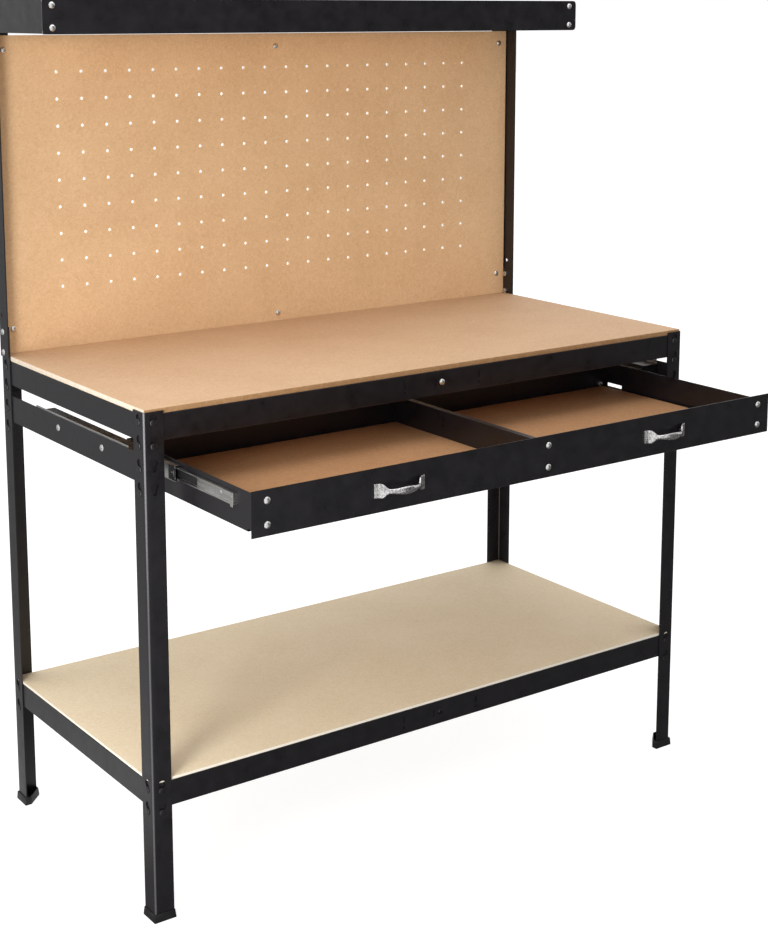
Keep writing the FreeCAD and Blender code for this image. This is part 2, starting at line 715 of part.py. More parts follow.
def add_strap():
    """A flat strap that ties the lower middle of the pegboard to the rear beam."""
    body = new_body("pegboard_strap")
    low = beam_top - S.beam_height + S.beam_sheet
    sketch = new_sketch(body, "XZ_Plane")
    half = S.strap_width * 0.5
    add_box(sketch, -half, ZERO, half, S.worktop_height + S.strap_rise - low)
    extrude(body, sketch, S.leg_sheet, True)
    holes = new_sketch(body, "XZ_Plane")
    for height in (beam_top - S.brace_bolt_drop, screw_mid):
        add_hole(holes, ZERO, height - low)
    cut_through(body, holes)
    place(body, ZERO, rear_inside, low)


# Top tray
def add_tray_front():
    """The tray's front: a flat face with rounded corners and a flange under the board."""
    body = new_body("tray_front")
    face = new_sketch(body, "XZ_Plane")
    add_box(face, -half_width, ZERO, half_width, S.tray_height)
    pad = extrude(body, face, S.tray_sheet, True)
    doc.recompute()
    upright = [f"Edge{i}" for i, e in enumerate(pad.Shape.Edges, 1) if runs_through_corner(e)]
    fillet = body.newObject("PartDesign::Fillet", "Corners")
    fillet.Base = (pad, upright)
    bind(fillet, "Radius", S.tray_corner)
    flange = new_sketch(body, "XY_Plane")
    reach = half_width - S.tray_corner - S.corner_gap
    add_box(flange, -reach, S.tray_sheet * 0.5, reach, S.tray_flange)
    extrude(body, flange, S.tray_sheet)
    add_pair_holes(body, [half_width - S.tray_bolt_offset], [z - tray_low for z in tray_bolts])
    place(body, ZERO, tray_front_y, tray_low)


def runs_through_corner(edge):
    """True for the short edges through the thickness of a plate."""
    box = edge.BoundBox
    return box.YLength > 0.1 and box.XLength < 0.01 and box.ZLength < 0.01


def add_pair_holes(body, across, heights, centre=ZERO):
    """Mirrored bolt holes through a plate that faces the front."""
    sketch = new_sketch(body, "XZ_Plane")
    for x in across:
        for height in heights:
            for side in (-1, 1):
                add_hole(sketch, centre + x * side, height)
    cut_through(body, sketch)


def add_tray_end(label, x, side):
    """A tray end: a side web, a tab behind the front and a flange under the board."""
    body = new_body(label)
    inner = S.tray_tab * side
    deep = rear_inside + S.leg_sheet - (tray_front_y + S.tray_sheet)
    length = S.tray_height - S.tray_sheet * 2
    path = [(ZERO, deep), (ZERO, ZERO), (inner, ZERO)]
    if side < 0:
        path = list(reversed(path))
    fold_sheet(body, "XY_Plane", path, S.tray_sheet, length)
    floor = new_sketch(body, "XY_Plane")
    start = S.tray_flange + S.corner_gap
    stop = peg_face - S.corner_gap - (tray_front_y + S.tray_sheet)
    add_box(floor, S.tray_sheet * 0.5 * side, start, S.tray_flange * side, stop)
    extrude(body, floor, S.tray_sheet)
    front = new_sketch(body, "XZ_Plane")
    low = tray_low + S.tray_sheet
    for height in tray_bolts:
        add_hole(front, S.tray_bolt_offset * side, height - low)
    cut_through(body, front)
    holes = new_sketch(body, "YZ_Plane")
    across = post_bolt_y - (tray_front_y + S.tray_sheet)
    for height in tray_bolts:
        add_hole(holes, across, height - low)
    cut_through(body, holes)
    place(body, x, tray_front_y + S.tray_sheet, low)


def add_tray_rear():
    """A plain angle between the posts that closes the tray's rear and carries its board."""
    body = new_body("tray_rear")
    half = half_width - S.tray_sheet - S.corner_gap
    high = S.tray_height - S.tray_sheet
    path = [(-S.tray_flange, ZERO), (ZERO, ZERO), (ZERO, high)]
    fold_sheet(body, "YZ_Plane", path, S.tray_sheet, half * 2)
    trim = new_sketch(body, "XY_Plane")
    edge = S.tray_flange
    for start in (-S.corner_gap, half * 2 - edge):
        add_box(trim, start, -S.tray_flange - S.corner_gap, start + edge + S.corner_gap, -S.tray_sheet)
    cut_through(body, trim)
    place(body, -half, S.frame_depth, tray_low + S.tray_sheet)


# Drawer: depths here run from the face of the front plate
def boxed_path(sign, high):
    """An upright wall whose lower edge is boxed: a flange inwards and a lip up."""
    flange = S.drawer_flange * sign
    return [(ZERO, high), (ZERO, ZERO), (flange, ZERO), (flange, S.drawer_lip)]


def place_in_drawer(body, x, depth, z, turn=FRONT):
    place(body, x, as_size(depth) - S.drawer_out, z, turn)


def trim_lower_edge(body, length, cut):
    """Shorten the boxed lower edge at both ends, leaving the wall whole."""
    trim = new_sketch(body, "XY_Plane")
    far = S.drawer_flange + S.corner_gap
    add_box(trim, -S.corner_gap, S.drawer_sheet, cut, far)
    add_box(trim, length - cut, S.drawer_sheet, length + S.corner_gap, far)
    cut_through(body, trim)


def add_drawer_front():
    body = new_body("drawer_front")
    fold_sheet(body, "YZ_Plane", boxed_path(1, S.plate_height), S.drawer_sheet, drawer_width)
    trim_lower_edge(body, drawer_width, S.side_inset + S.drawer_sheet + S.corner_gap)
    heights = [z - plate_low for z in drawer_bolts]
    add_pair_holes(body, [drawer_bolt_x], heights, half_drawer)
    middle = new_sketch(body, "XZ_Plane")
    for height in heights:
        add_hole(middle, half_drawer + divider_bolt_x, height)
    handle_z = plate_mid - plate_low
    for side in (-1, 1):
        for foot in (-0.5, 0.5):
            add_hole(middle, half_drawer + S.handle_place * side + S.handle_pitch * foot,
                     handle_z)
    cut_through(body, middle)
    place_in_drawer(body, -half_drawer, ZERO, plate_low)


def add_drawer_back():
    body = new_body("drawer_back")
    length = side_x * 2
    fold_sheet(body, "YZ_Plane", boxed_path(1, S.side_height), S.drawer_sheet, length)
    trim_lower_edge(body, length, S.drawer_sheet + S.corner_gap)
    heights = [z - plate_low for z in drawer_bolts]
    add_pair_holes(body, [drawer_bolt_x], heights, side_x)
    middle = new_sketch(body, "XZ_Plane")
    for height in heights:
        add_hole(middle, side_x - divider_bolt_x, height)
    cut_through(body, middle)
    place_in_drawer(body, side_x, S.drawer_depth, plate_low, REAR)


def add_drawer_side(label, side):
    """A side wall with end tabs. Its path is drawn across X, and it runs front to rear."""
    body = new_body(label)
    sheet = S.drawer_sheet
    length = S.drawer_depth - sheet * 2
    path = boxed_path(-side, S.side_height)
    if side > 0:
        path = list(reversed(path))
    fold_sheet(body, "XZ_Plane", path, sheet, length, True)
    add_side_openings(body, length, side)
    low = S.drawer_lip + S.tab_clearance
    for start, away in ((ZERO, True), (length, False)):
        tab = new_sketch(body, "XZ_Plane", -start)
        add_box(tab, -(sheet * side * 0.5), low, -(S.tab_width * side), S.side_height)
        extrude(body, tab, sheet, away)
    holes = new_sketch(body, "XZ_Plane")
    across = (drawer_bolt_x - side_x) * side
    for height in drawer_bolts:
        add_hole(holes, across, height - plate_low)
    cut_through(body, holes)
    place_in_drawer(body, side_x * side, sheet, plate_low)


def add_side_openings(body, length, side):
    """Room for the boxed edges of front and back, a notch at the front and a slot at the rear."""
    sheet = S.drawer_sheet
    trim = new_sketch(body, "XY_Plane")
    near = -(sheet * side)
    far = -((S.drawer_flange + S.corner_gap) * side)
    cut = S.drawer_flange + S.corner_gap
    add_box(trim, near, -S.corner_gap, far, cut)
    add_box(trim, near, length - cut, far, length + S.corner_gap)
    cut_through(body, trim)
    notch = new_sketch(body, "YZ_Plane")
    add_box(notch, -S.corner_gap, -S.corner_gap, S.notch_length, S.notch_height)
    window_far = length - S.window_rear
    window_z = S.drawer_lip + S.drawer_board_thick
    window_near = window_far - S.window_length
    add_box(notch, window_near, window_z, window_far, window_z + S.window_height)
    cut_through(body, notch)


def add_divider():
    """The wall between the two compartments, with bolted tabs and a top flange."""
    body = new_body("drawer_divider")
    sheet = S.drawer_sheet
    low = board_rest + S.drawer_board_thick
    high = plate_low + S.side_height - low
    length = S.drawer_depth - sheet * 2
    tab = S.divider_flange * 2
    path = [(tab, length), (ZERO, length), (ZERO, ZERO), (tab, ZERO)]
    fold_sheet(body, "XY_Plane", path, sheet, high)
    top = new_sketch(body, "XY_Plane", high - sheet)
    add_box(top, sheet * 0.5, S.drawer_flange, S.divider_flange, length - S.drawer_flange)
    extrude(body, top, sheet)
    holes = new_sketch(body, "XZ_Plane")
    for height in drawer_bolts:
        add_hole(holes, divider_bolt_x - S.divider_place, height - low)
    cut_through(body, holes)
    place_in_drawer(body, S.divider_place, sheet, low)


def add_drawer_board():
    gap = S.drawer_board_gap
    width = (side_x - gap) * 2
    body = flat_panel("drawer_bottom", width, S.drawer_depth - gap * 2, S.drawer_board_thick)
    place_in_drawer(body, ZERO, gap, board_rest)


# Drawer slides
def channel_path(half, depth, opens, lip=None):
    """A channel lying on its back: its web at the origin, its flanges towards +X or -X."""
    deep = depth * opens
    path = [(deep, -half), (ZERO, -half), (ZERO, half), (deep, half)]
    if lip is not None:
        path = [(deep, lip - half)] + path + [(deep, half - lip)]
    if opens > 0:
        path = list(reversed(path))
    return path


def add_member(label, path, web, side, length, start):
    """One member of a slide, its web a distance inwards from the bracket's face."""
    body = new_body(label)
    fold_sheet(body, "XZ_Plane", path, S.slide_sheet, length, True)
    place(body, (slide_back - web) * side, start, slide_centre)
    return body


def add_slide(name, side):
    """The three members and two ball cages of one slide, drawn at the drawer's rest place."""
    length = slide_length
    front = S.slide_front
    out = S.drawer_out
    outer = channel_path(S.outer_half, S.outer_deep, -side, S.outer_lip)
    middle = channel_path(S.middle_half, S.middle_deep, -side)
    inner = channel_path(S.inner_half, S.inner_deep, side)
    add_member(f"{name}_slide_outer", outer, ZERO, side, length, front)
    middle_start = front + S.middle_set - out * 0.5
    middle_length = length - S.middle_set
    add_member(f"{name}_slide_middle", middle, S.middle_web, side, middle_length, middle_start)
    carried = add_member(f"{name}_slide_inner", inner, S.slide_depth, side, length, front - out)
    add_slide_stop(carried, side)
    outer_track = (S.outer_half - S.slide_sheet + S.middle_half) * 0.5
    inner_track = (S.middle_half - S.slide_sheet + S.inner_half) * 0.5
    cage_start = front + (length - S.cage_length) * 0.5
    add_cage(f"{name}_outer_ball_cage", outer_track, S.outer_cage_web, side, cage_start - out * 0.25)
    inner_start = cage_start + S.inner_cage_set - out * 0.75
    add_cage(f"{name}_inner_ball_cage", inner_track, S.inner_cage_web, side, inner_start)


def add_slide_stop(body, opens):
    """The bent stop across the front end of an inner member."""
    sketch = new_sketch(body, "XZ_Plane")
    far = (S.inner_deep - S.slide_sheet) * opens
    reach = S.inner_half - S.slide_sheet * 0.5
    add_box(sketch, S.slide_sheet * 0.5 * opens, -reach, far, reach)
    extrude(body, sketch, S.slide_sheet, True)


def add_cage(label, track, web, side, start):
    """A thin channel between two members. Its flanges run where the balls roll."""
    body = new_body(label)
    path = channel_path(track + S.cage_sheet * 0.5, S.cage_deep, -side)
    fold_sheet(body, "XZ_Plane", path, S.cage_sheet, S.cage_length, True, False)
    place(body, (slide_back - web) * side, start, slide_centre)


def add_rail_plate(label, side, turn):
    """The rail between two legs that carries a slide bracket. Its hooked ends fold in behind
    the legs' other flanges."""
    body = new_body(label)
    start = S.leg_sheet + S.corner_gap
    length = S.frame_depth - start * 2
    sketch = new_sketch(body, "XZ_Plane")
    drop = -S.rail_hook_drop
    hook = S.lug_width
    high = S.plate_rail_height
    add_polygon(sketch, [
        (ZERO, drop), (hook, drop), (hook, ZERO), (length - hook, ZERO),
        (length - hook, drop), (length, drop), (length, high), (ZERO, high),
    ])
    extrude(body, sketch, S.beam_sheet, True)
    holes = new_sketch(body, "XZ_Plane")
    for depth in rail_bolt_depths():
        along = depth - start if side > 0 else length - (depth - start)
        add_hole(holes, along, rail_bolt_z - plate_rail_low)
    cut_through(body, holes)
    for spot, away in ((ZERO, False), (length, True)):
        end = new_sketch(body, "YZ_Plane", spot)
        add_box(end, S.beam_sheet * 0.5, drop, S.rail_return, high)
        extrude(body, end, S.beam_sheet, away)
    y = start if side > 0 else S.frame_depth - start
    place(body, inside_x * side, y, plate_rail_low, turn)


def rail_bolt_depths():
    return [S.slide_front + S.rail_bolt_inset, S.slide_front + slide_length - S.rail_bolt_inset]


def add_bracket(label, side):
    """A folded bracket: its outer wall bolts to the rail and its inner wall carries the slide."""
    body = new_body(label)
    sheet = S.beam_sheet
    length = slide_length + S.bracket_extra * 2
    wide = inside_x - S.beam_sheet - slide_back
    low = slide_centre - S.outer_half
    high = bracket_top - low
    outer = wide * side
    path = [(ZERO, ZERO), (ZERO, high), (outer, high), (outer, high - S.bracket_wall)]
    if side > 0:
        path = list(reversed(path))
    fold_sheet(body, "XZ_Plane", path, sheet, length, True)
    holes = new_sketch(body, "YZ_Plane")
    start = S.slide_front - S.bracket_extra
    for depth in rail_bolt_depths():
        add_hole(holes, depth - start, rail_bolt_z - low)
    cut_through(body, holes)
    place(body, slide_back * side, start, low)


# Handles
def add_handle(label, x):
    """A bow handle: two foot plates and a bow that narrows to its necks and widens between."""
    half = S.handle_pitch.value / 2
    thick = S.handle_thick.value
    foot = S.handle_foot_thick.value
    reach = S.handle_reach.value - thick
    wide = S.handle_foot_width.value
    high = S.handle_foot_height.value
    pieces = []
    for side in (-1, 1):
        corner = FreeCAD.Vector(side * half - wide / 2, -foot, -high / 2)
        pieces.append(Part.makeBox(wide, foot, high, corner))
    stations = 6
    rings = []
    for i in range(stations + 1):
        angle = math.pi * i / stations
        rise = S.handle_neck.value
        rise += (S.handle_middle.value - rise) * math.sin(angle) ** 4
        rise *= 1 + math.cos(angle) ** 6
        spot = FreeCAD.Vector(-half * math.cos(angle), -foot / 2 - (reach - foot / 2) * math.sin(angle), 0)
        slope = math.atan2(-reach * math.cos(angle), half * math.sin(angle))
        rings.append(bow_ring(spot, slope, thick, rise))
    pieces.append(faceted_bar(rings))
    handle = doc.addObject("Part::Feature", label)
    handle.Label = label
    handle.Shape = pieces[0].fuse(pieces[1:]).removeSplitter()
    nodes.append(handle)
    place_in_drawer(handle, x, ZERO, plate_mid)


def bow_ring(spot, slope, thick, rise):
    """A flattened ring across the bow, square to its line."""
    across = FreeCAD.Vector(-math.sin(slope), math.cos(slope), 0)
    upward = FreeCAD.Vector(0, 0, 1)
    sides = 8
    corners = []
    for i in range(sides):
        angle = 2 * math.pi * i / sides
        corners.append(spot + across * (thick * math.cos(angle)) + upward * (rise * math.sin(angle)))
    return corners


def flat_face(corners):
    return Part.Face(Part.makePolygon(corners + corners[:1]))


def faceted_bar(rings):
    """A solid through rings of corners, with flat three-cornered facets between them."""
    faces = [flat_face(rings[0]), flat_face(rings[-1])]
    for near, far in zip(rings, rings[1:]):
        for i in range(len(near)):
            j = (i + 1) % len(near)
            faces.append(flat_face([near[i], near[j], far[j]]))
            faces.append(flat_face([near[i], far[j], far[i]]))
    bar = Part.Solid(Part.Shell(faces))
    bar.fixTolerance(1e-6)
    return bar


# Fasteners: one form of each kind, copied to its places
def ring_wire(radius, level, sides):
    corners = []
    for i in range(sides + 1):
        angle = 2 * math.pi * (i + 0.5) / sides
        corners.append(FreeCAD.Vector(radius * math.cos(angle), radius * math.sin(angle), level))
    return Part.makePolygon(corners)


def prism(radius, base, length, sides):
    """A flat-sided bar along +Z."""
    return Part.Face(ring_wire(radius, base, sides)).extrude(FreeCAD.Vector(0, 0, length))


def bolt_form(grip):
    """A bolt along +Z with a round head, a square neck through the sheets and a nut below. The
    underside of its head is at the origin."""
    head = prism(S.bolt_head.value, 0, S.bolt_head_thick.value, 8)
    neck = prism(S.bolt_neck.value * math.sqrt(2), -grip.value, grip.value, 4)
    nut = prism(S.nut_radius.value, -grip.value - S.nut_thick.value, S.nut_thick.value, 6)
    return head.fuse([neck, nut]).removeSplitter()


def stud_form():
    """A headed stud along +Z, standing on the web of its beam."""
    head = prism(S.stud_head.value, 0, S.stud_head_thick.value, 8)
    shank = prism(S.stud_shank.value, -S.leg_sheet.value, S.leg_sheet.value, 4)
    return head.fuse(shank).removeSplitter()


def add_group(label, spots, in_drawer=False):
    """A set of fasteners in one piece list: (form, x, y, z, direction of the head)."""
    copies = []
    for form, x, y, z, direction in spots:
        turn = FreeCAD.Rotation(FreeCAD.Vector(0, 0, 1), FreeCAD.Vector(*direction))
        spot = FreeCAD.Vector(as_size(x).value, as_size(y).value, as_size(z).value)
        copy = form.copy()
        copy.Placement = FreeCAD.Placement(spot, turn)
        copies.append(copy)
    group = doc.addObject("Part::Feature", label)
    group.Label = label
    group.Shape = Part.makeCompound(copies)
    nodes.append(group)
    place(group, ZERO, -S.drawer_out if in_drawer else ZERO, ZERO)


TO_FRONT = (0, -1, 0)
TO_REAR = (0, 1, 0)
TO_LEFT = (-1, 0, 0)
TO_RIGHT = (1, 0, 0)


def both_sides(form, x, y, heights):
    """The same fastener on the left and the right, its head outwards."""
    spots = []
    for side, direction in ((-1, TO_LEFT), (1, TO_RIGHT)):
        for height in heights:
            spots.append((form, x * side, y, height, direction))
    return spots


def add_studs():
    """The headed studs at the ends of every beam and rail, hooked through the legs' keyholes."""
    form = stud_form()
    beam_seats = stud_heights(beam_top, S.beam_studs) + stud_heights(shelf_top, S.beam_studs)
    first_rail_seat = beam_seats[0] - S.stud_pitch * S.beam_studs.value
    rail_seats = [first_rail_seat, first_rail_seat - S.stud_pitch]
    spots = []
    for y in (S.stud_offset, S.frame_depth - S.stud_offset):
        spots += both_sides(form, half_width, y, beam_seats + rail_seats)
    for across in (S.stud_offset - half_width, half_width - S.stud_offset):
        for height in beam_seats:
            spots.append((form, across, ZERO, height, TO_FRONT))
            spots.append((form, across, S.frame_depth, height, TO_REAR))
    add_group("frame_studs", spots)


def add_tray_bolts():
    form = bolt_form(S.tray_sheet * 2)
    spots = both_sides(bolt_form(S.leg_sheet + S.tray_sheet), post_x, post_bolt_y, tray_bolts)
    for across in (S.tray_bolt_offset - half_width, half_width - S.tray_bolt_offset):
        for height in tray_bolts:
            spots.append((form, across, tray_front_y, height, TO_FRONT))
    add_group("tray_bolts", spots)


def add_board_bolts():
    """The pegboard's bolts: corners into the posts, middle ones into rail and strap."""
    corner = bolt_form(S.pegboard_thick + S.leg_sheet * 2)
    middle = bolt_form(S.pegboard_thick + S.leg_sheet)
    spots = []
    for across in (-screw_x, screw_x):
        for height in (screw_low, screw_top):
            spots.append((corner, across, peg_face, height, TO_FRONT))
    for height in (screw_mid, screw_top):
        spots.append((middle, ZERO, peg_face, height, TO_FRONT))
    add_group("pegboard_bolts", spots)


def add_brace_bolts():
    form = bolt_form(S.beam_sheet * 2)
    through_strap = bolt_form(S.beam_sheet * 2 + S.leg_sheet)
    spots = []
    for top in (beam_top, shelf_top):
        spots.append((form, ZERO, S.leg_sheet, top - S.brace_bolt_drop, TO_FRONT))
    spots.append((form, ZERO, rear_inside, shelf_top - S.brace_bolt_drop, TO_REAR))
    spots.append((through_strap, ZERO, S.frame_depth, beam_top - S.brace_bolt_drop, TO_REAR))
    add_group("brace_bolts", spots)


def add_rail_bolts():
    form = bolt_form(S.beam_sheet * 2)
    spots = []
    for depth in rail_bolt_depths():
        spots += both_sides(form, inside_x, depth, [rail_bolt_z])
    add_group("rail_bolts", spots)


def add_drawer_bolts():
    form = bolt_form(S.drawer_sheet * 2)
    spots = []
    for across in (-drawer_bolt_x, divider_bolt_x, drawer_bolt_x):
        for height in drawer_bolts:
            spots.append((form, across, ZERO, height, TO_FRONT))
            spots.append((form, across, S.drawer_depth, height, TO_REAR))
    add_group("drawer_bolts", spots, True)


def build():
    top = S.worktop_height - S.leg_top_gap
    rear_top = S.worktop_height + S.rear_leg_rise
    corners = [
        ("front_left", -half_width, ZERO, FRONT, top, None),
        ("front_right", half_width, ZERO, LEFTWARD, top, None),
        ("rear_right", half_width, S.frame_depth, REAR, rear_top, "YZ_Plane"),
        ("rear_left", -half_width, S.frame_depth, RIGHTWARD, rear_top, "XZ_Plane"),
    ]
    for name, x, y, turn, leg_top, side_role in corners:
        add_leg(f"{name}_leg", x, y, turn, leg_top, side_role)
        add_cap(f"{name}_foot_cap", x, y, turn)
    add_post("left_post", -post_x, RIGHTWARD, "XZ_Plane")
    add_post("right_post", post_x, REAR, "YZ_Plane")
    add_beam_ring("worktop", beam_top)
    add_beam_ring("shelf", shelf_top)
    add_brace("worktop_brace", beam_top)
    add_brace("shelf_brace", shelf_top)
    board_width = (inside_x - S.board_clearance) * 2
    board_depth = S.frame_depth - (S.leg_sheet + S.board_clearance) * 2
    board_front = S.leg_sheet + S.board_clearance
    worktop_deep = peg_face - S.board_clearance - board_front
    worktop = flat_panel("worktop_board", board_width, worktop_deep, S.worktop_thick)
    place(worktop, ZERO, board_front, beam_top)
    shelf = flat_panel("shelf_board", board_width, board_depth, S.shelf_thick)
    place(shelf, ZERO, board_front, shelf_top)
    add_pegboard()
    add_pegboard_rail()
    add_strap()
    add_tray_front()
    add_tray_end("tray_left_end", -half_width, 1)
    add_tray_end("tray_right_end", half_width, -1)
    add_tray_rear()
    tray_inner = (half_width - S.tray_sheet - S.board_clearance) * 2
    tray_start = tray_front_y + S.tray_board_front
    tray_deep = S.frame_depth - S.tray_sheet - S.board_clearance - tray_start
    tray_floor = flat_panel("tray_board", tray_inner, tray_deep, S.tray_board_thick)
    place(tray_floor, ZERO, tray_start, tray_low + S.tray_sheet * 2)
    add_drawer_front()
    add_drawer_back()
    add_drawer_side("drawer_left_side", -1)
    add_drawer_side("drawer_right_side", 1)
    add_divider()
    add_drawer_board()
    add_handle("left_handle", -S.handle_place)
    add_handle("right_handle", S.handle_place)
    add_rail_plate("left_rail", -1, RIGHTWARD)
    add_rail_plate("right_rail", 1, LEFTWARD)
    add_bracket("left_slide_bracket", -1)
    add_bracket("right_slide_bracket", 1)
    add_slide("left", -1)
    add_slide("right", 1)
    add_studs()
    add_group("post_bolts", both_sides(bolt_form(S.leg_sheet * 2), post_x, post_bolt_y, joint_bolts))
    add_tray_bolts()
    add_board_bolts()
    add_brace_bolts()
    add_rail_bolts()
    add_drawer_bolts()


def check_and_write():
    doc.recompute()
    for item in doc.Objects:
        if "Invalid" in item.State or "Error" in item.State:
            raise RuntimeError(f"{item.Label} did not build")
    os.makedirs("parts", exist_ok=True)
    for item in nodes:
        shape = item.Shape
        if shape.isNull() or not shape.isValid():
            raise RuntimeError(f"{item.Label} has no sound shape")
        shape.exportStep(os.path.join("parts", f"{item.Label}.step"))


build()
check_and_write()
print(len(nodes), "pieces")
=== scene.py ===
import json
import math

import bmesh
import bpy
from mathutils import Matrix, Vector


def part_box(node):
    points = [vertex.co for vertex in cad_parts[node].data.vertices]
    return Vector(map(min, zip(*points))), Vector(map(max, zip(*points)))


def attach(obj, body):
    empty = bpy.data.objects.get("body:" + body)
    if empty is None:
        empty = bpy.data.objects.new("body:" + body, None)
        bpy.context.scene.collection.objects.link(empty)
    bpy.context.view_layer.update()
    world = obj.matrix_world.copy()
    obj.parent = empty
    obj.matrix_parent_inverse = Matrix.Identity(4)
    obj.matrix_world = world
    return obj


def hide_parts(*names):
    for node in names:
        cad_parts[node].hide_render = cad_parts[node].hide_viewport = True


# Workbench in folded, powder-coated steel with fibreboard panels, one drawer on ball-bearing
# slides and cast handles. Metres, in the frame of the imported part: +Z up, front towards -Y.

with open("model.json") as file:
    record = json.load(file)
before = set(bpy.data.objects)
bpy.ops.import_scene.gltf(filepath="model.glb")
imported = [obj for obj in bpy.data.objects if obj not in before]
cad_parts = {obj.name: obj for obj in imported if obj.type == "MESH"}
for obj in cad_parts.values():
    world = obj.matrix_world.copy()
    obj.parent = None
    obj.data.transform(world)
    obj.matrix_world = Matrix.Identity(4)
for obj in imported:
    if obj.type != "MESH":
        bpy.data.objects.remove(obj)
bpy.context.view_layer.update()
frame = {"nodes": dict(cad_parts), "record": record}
nodes = frame["nodes"]

MM = 0.001

# Faces and levels that pieces stand on, in millimetres
LEG_SIDE, LEG_FRONT, LEG_REAR = 600, -136.5, 423.5
POST_SIDE, POST_REAR = 602, 425.5
BEAM_FRONT, SHELF_BEAM_REAR = -134.5, 421.5
TRAY_FRONT, PEGBOARD_FRONT, RAIL_SIDE = 194, 417.5, 598
DRAWER_FRONT, DRAWER_REAR = -401.5, 28.5
BEAM_SEATS = [858, 819, 232, 193]
RAIL_SEATS = [780, 741]
TRAY_SEATS = [1477, 1515]
DRAWER_SEATS = [747.5, 785.5]
HANDLES, HANDLE_FOOT, HANDLE_LEVEL = (-291, 291), 42, 766.5
SLIDE_LEVEL = 775


# Colour and nodes
def paint(code):
    """A colour written as sRGB hex, turned to linear light."""
    shades = []
    for i in (1, 3, 5):
        level = int(code[i:i + 2], 16) / 255
        shades.append(level / 12.92 if level <= 0.04045 else ((level + 0.055) / 1.055) ** 2.4)
    return (*shades, 1.0)


def add(tree, kind, setting=None, values=None, links=None):
    """Add a node: its settings by name, its sockets' values and what is plugged into them."""
    node = tree.nodes.new("ShaderNode" + kind)
    for name, value in (setting or {}).items():
        setattr(node, name, value)
    for socket, value in (values or {}).items():
        node.inputs[socket].default_value = value
    for socket, source in (links or {}).items():
        tree.links.new(source, node.inputs[socket])
    return node


def new_material(name):
    material = bpy.data.materials.new(name)
    material.use_nodes = True
    tree = material.node_tree
    tree.nodes.clear()
    place = add(tree, "TexCoord").outputs["Object"]
    return material, tree, place


def close_material(tree, shader):
    add(tree, "OutputMaterial", links={"Surface": shader.outputs[0]})


def ramp(tree, source, stops):
    """Colours, or grey levels, at spots along a value from 0 to 1."""
    node = add(tree, "ValToRGB", links={"Fac": source})
    points = node.color_ramp.elements
    while len(points) < len(stops):
        points.new(0.5)
    for point, (spot, code) in zip(points, stops):
        point.position = spot
        point.color = paint(code) if isinstance(code, str) else (code, code, code, 1)
    return node.outputs["Color"]


def maths(tree, operation, *inputs):
    """A sum on sockets and numbers."""
    node = add(tree, "Math", {"operation": operation})
    for socket, source in zip(node.inputs, inputs):
        if isinstance(source, bpy.types.NodeSocket):
            tree.links.new(source, socket)
        else:
            socket.default_value = source
    return node.outputs[0]


def remap(tree, source, start, stop, low=0.0, high=1.0):
    """A value led from one range to another and held at its ends."""
    return add(tree, "MapRange", values={
        "From Min": start, "From Max": stop, "To Min": low, "To Max": high},
        links={"Value": source}).outputs["Result"]


def noise(tree, place, scale, detail=2.0, roughness=0.5, distortion=0.0):
    return add(tree, "TexNoise", values={
        "Scale": scale, "Detail": detail, "Roughness": roughness, "Distortion": distortion},
        links={"Vector": place}).outputs["Fac"]


def blend(tree, share, first, second):
    return add(tree, "Mix", {"data_type": "RGBA"}, links={
        "Factor": share, 6: first, 7: second}).outputs[2]


def dents(tree, height, strength, distance):
    """A shading normal from a pattern; the distance is in metres."""
    return add(tree, "Bump", values={"Strength": strength, "Distance": distance},
               links={"Height": height}).outputs["Normal"]


def axes(tree, vector):
    return add(tree, "SeparateXYZ", links={"Vector": vector}).outputs


def reach(tree, vector, direction):
    """How far a vector reaches along a direction."""
    return add(tree, "VectorMath", {"operation": "DOT_PRODUCT"}, {1: direction},
               {0: vector}).outputs["Value"]


# Materials
def powder_coated_steel():
    """Black epoxy powder coat, oven-cured: an even, slightly orange-peeled semi-gloss that turns
    dull grey where light grazes it. Peel of 1.5 mm and duller clouds a finger wide. A pale grey
    line along each rounded upright fold is a painted highlight, strongest from just under the
    height of the worktop upwards. The same mask paints glints on stud heads and on other faces
    that turn between front and side."""
    material, tree, place = new_material("powder_coated_steel")
    peel = noise(tree, place, 650, 3, 0.6)
    cloud = noise(tree, place, 38, 4, 0.65)
    coat = ramp(tree, cloud, [(0.3, "#121013"), (0.75, "#1c191d")])
    # The pale grey of the painted highlight along the folds and on stud rims.
    steel = ramp(tree, peel, [(0.3, "#807e81"), (0.7, "#a5a3a5")])
    normal = axes(tree, add(tree, "TexCoord").outputs["Normal"])
    slant = maths(tree, "ABSOLUTE", maths(tree, "MULTIPLY", normal["X"], normal["Y"]))
    fold = ramp(tree, slant, [(0.25, 0.0), (0.46, 0.8)])
    # Painted highlight: full from just under the worktop's height upwards, a third as strong
    # below 0.55 m.
    highlight_height = remap(tree, axes(tree, place)["Z"], 0.55, 0.82, 0.35)
    painted_highlight = maths(tree, "MULTIPLY", fold, highlight_height)
    shader = add(tree, "BsdfPrincipled", values={"IOR": 1.52}, links={
        "Base Color": blend(tree, painted_highlight, coat, steel),
        "Roughness": remap(tree, cloud, 0.3, 0.7, 0.26, 0.42),
        "Normal": dents(tree, peel, 0.16, 0.0004)})
    close_material(tree, shader)
    return material


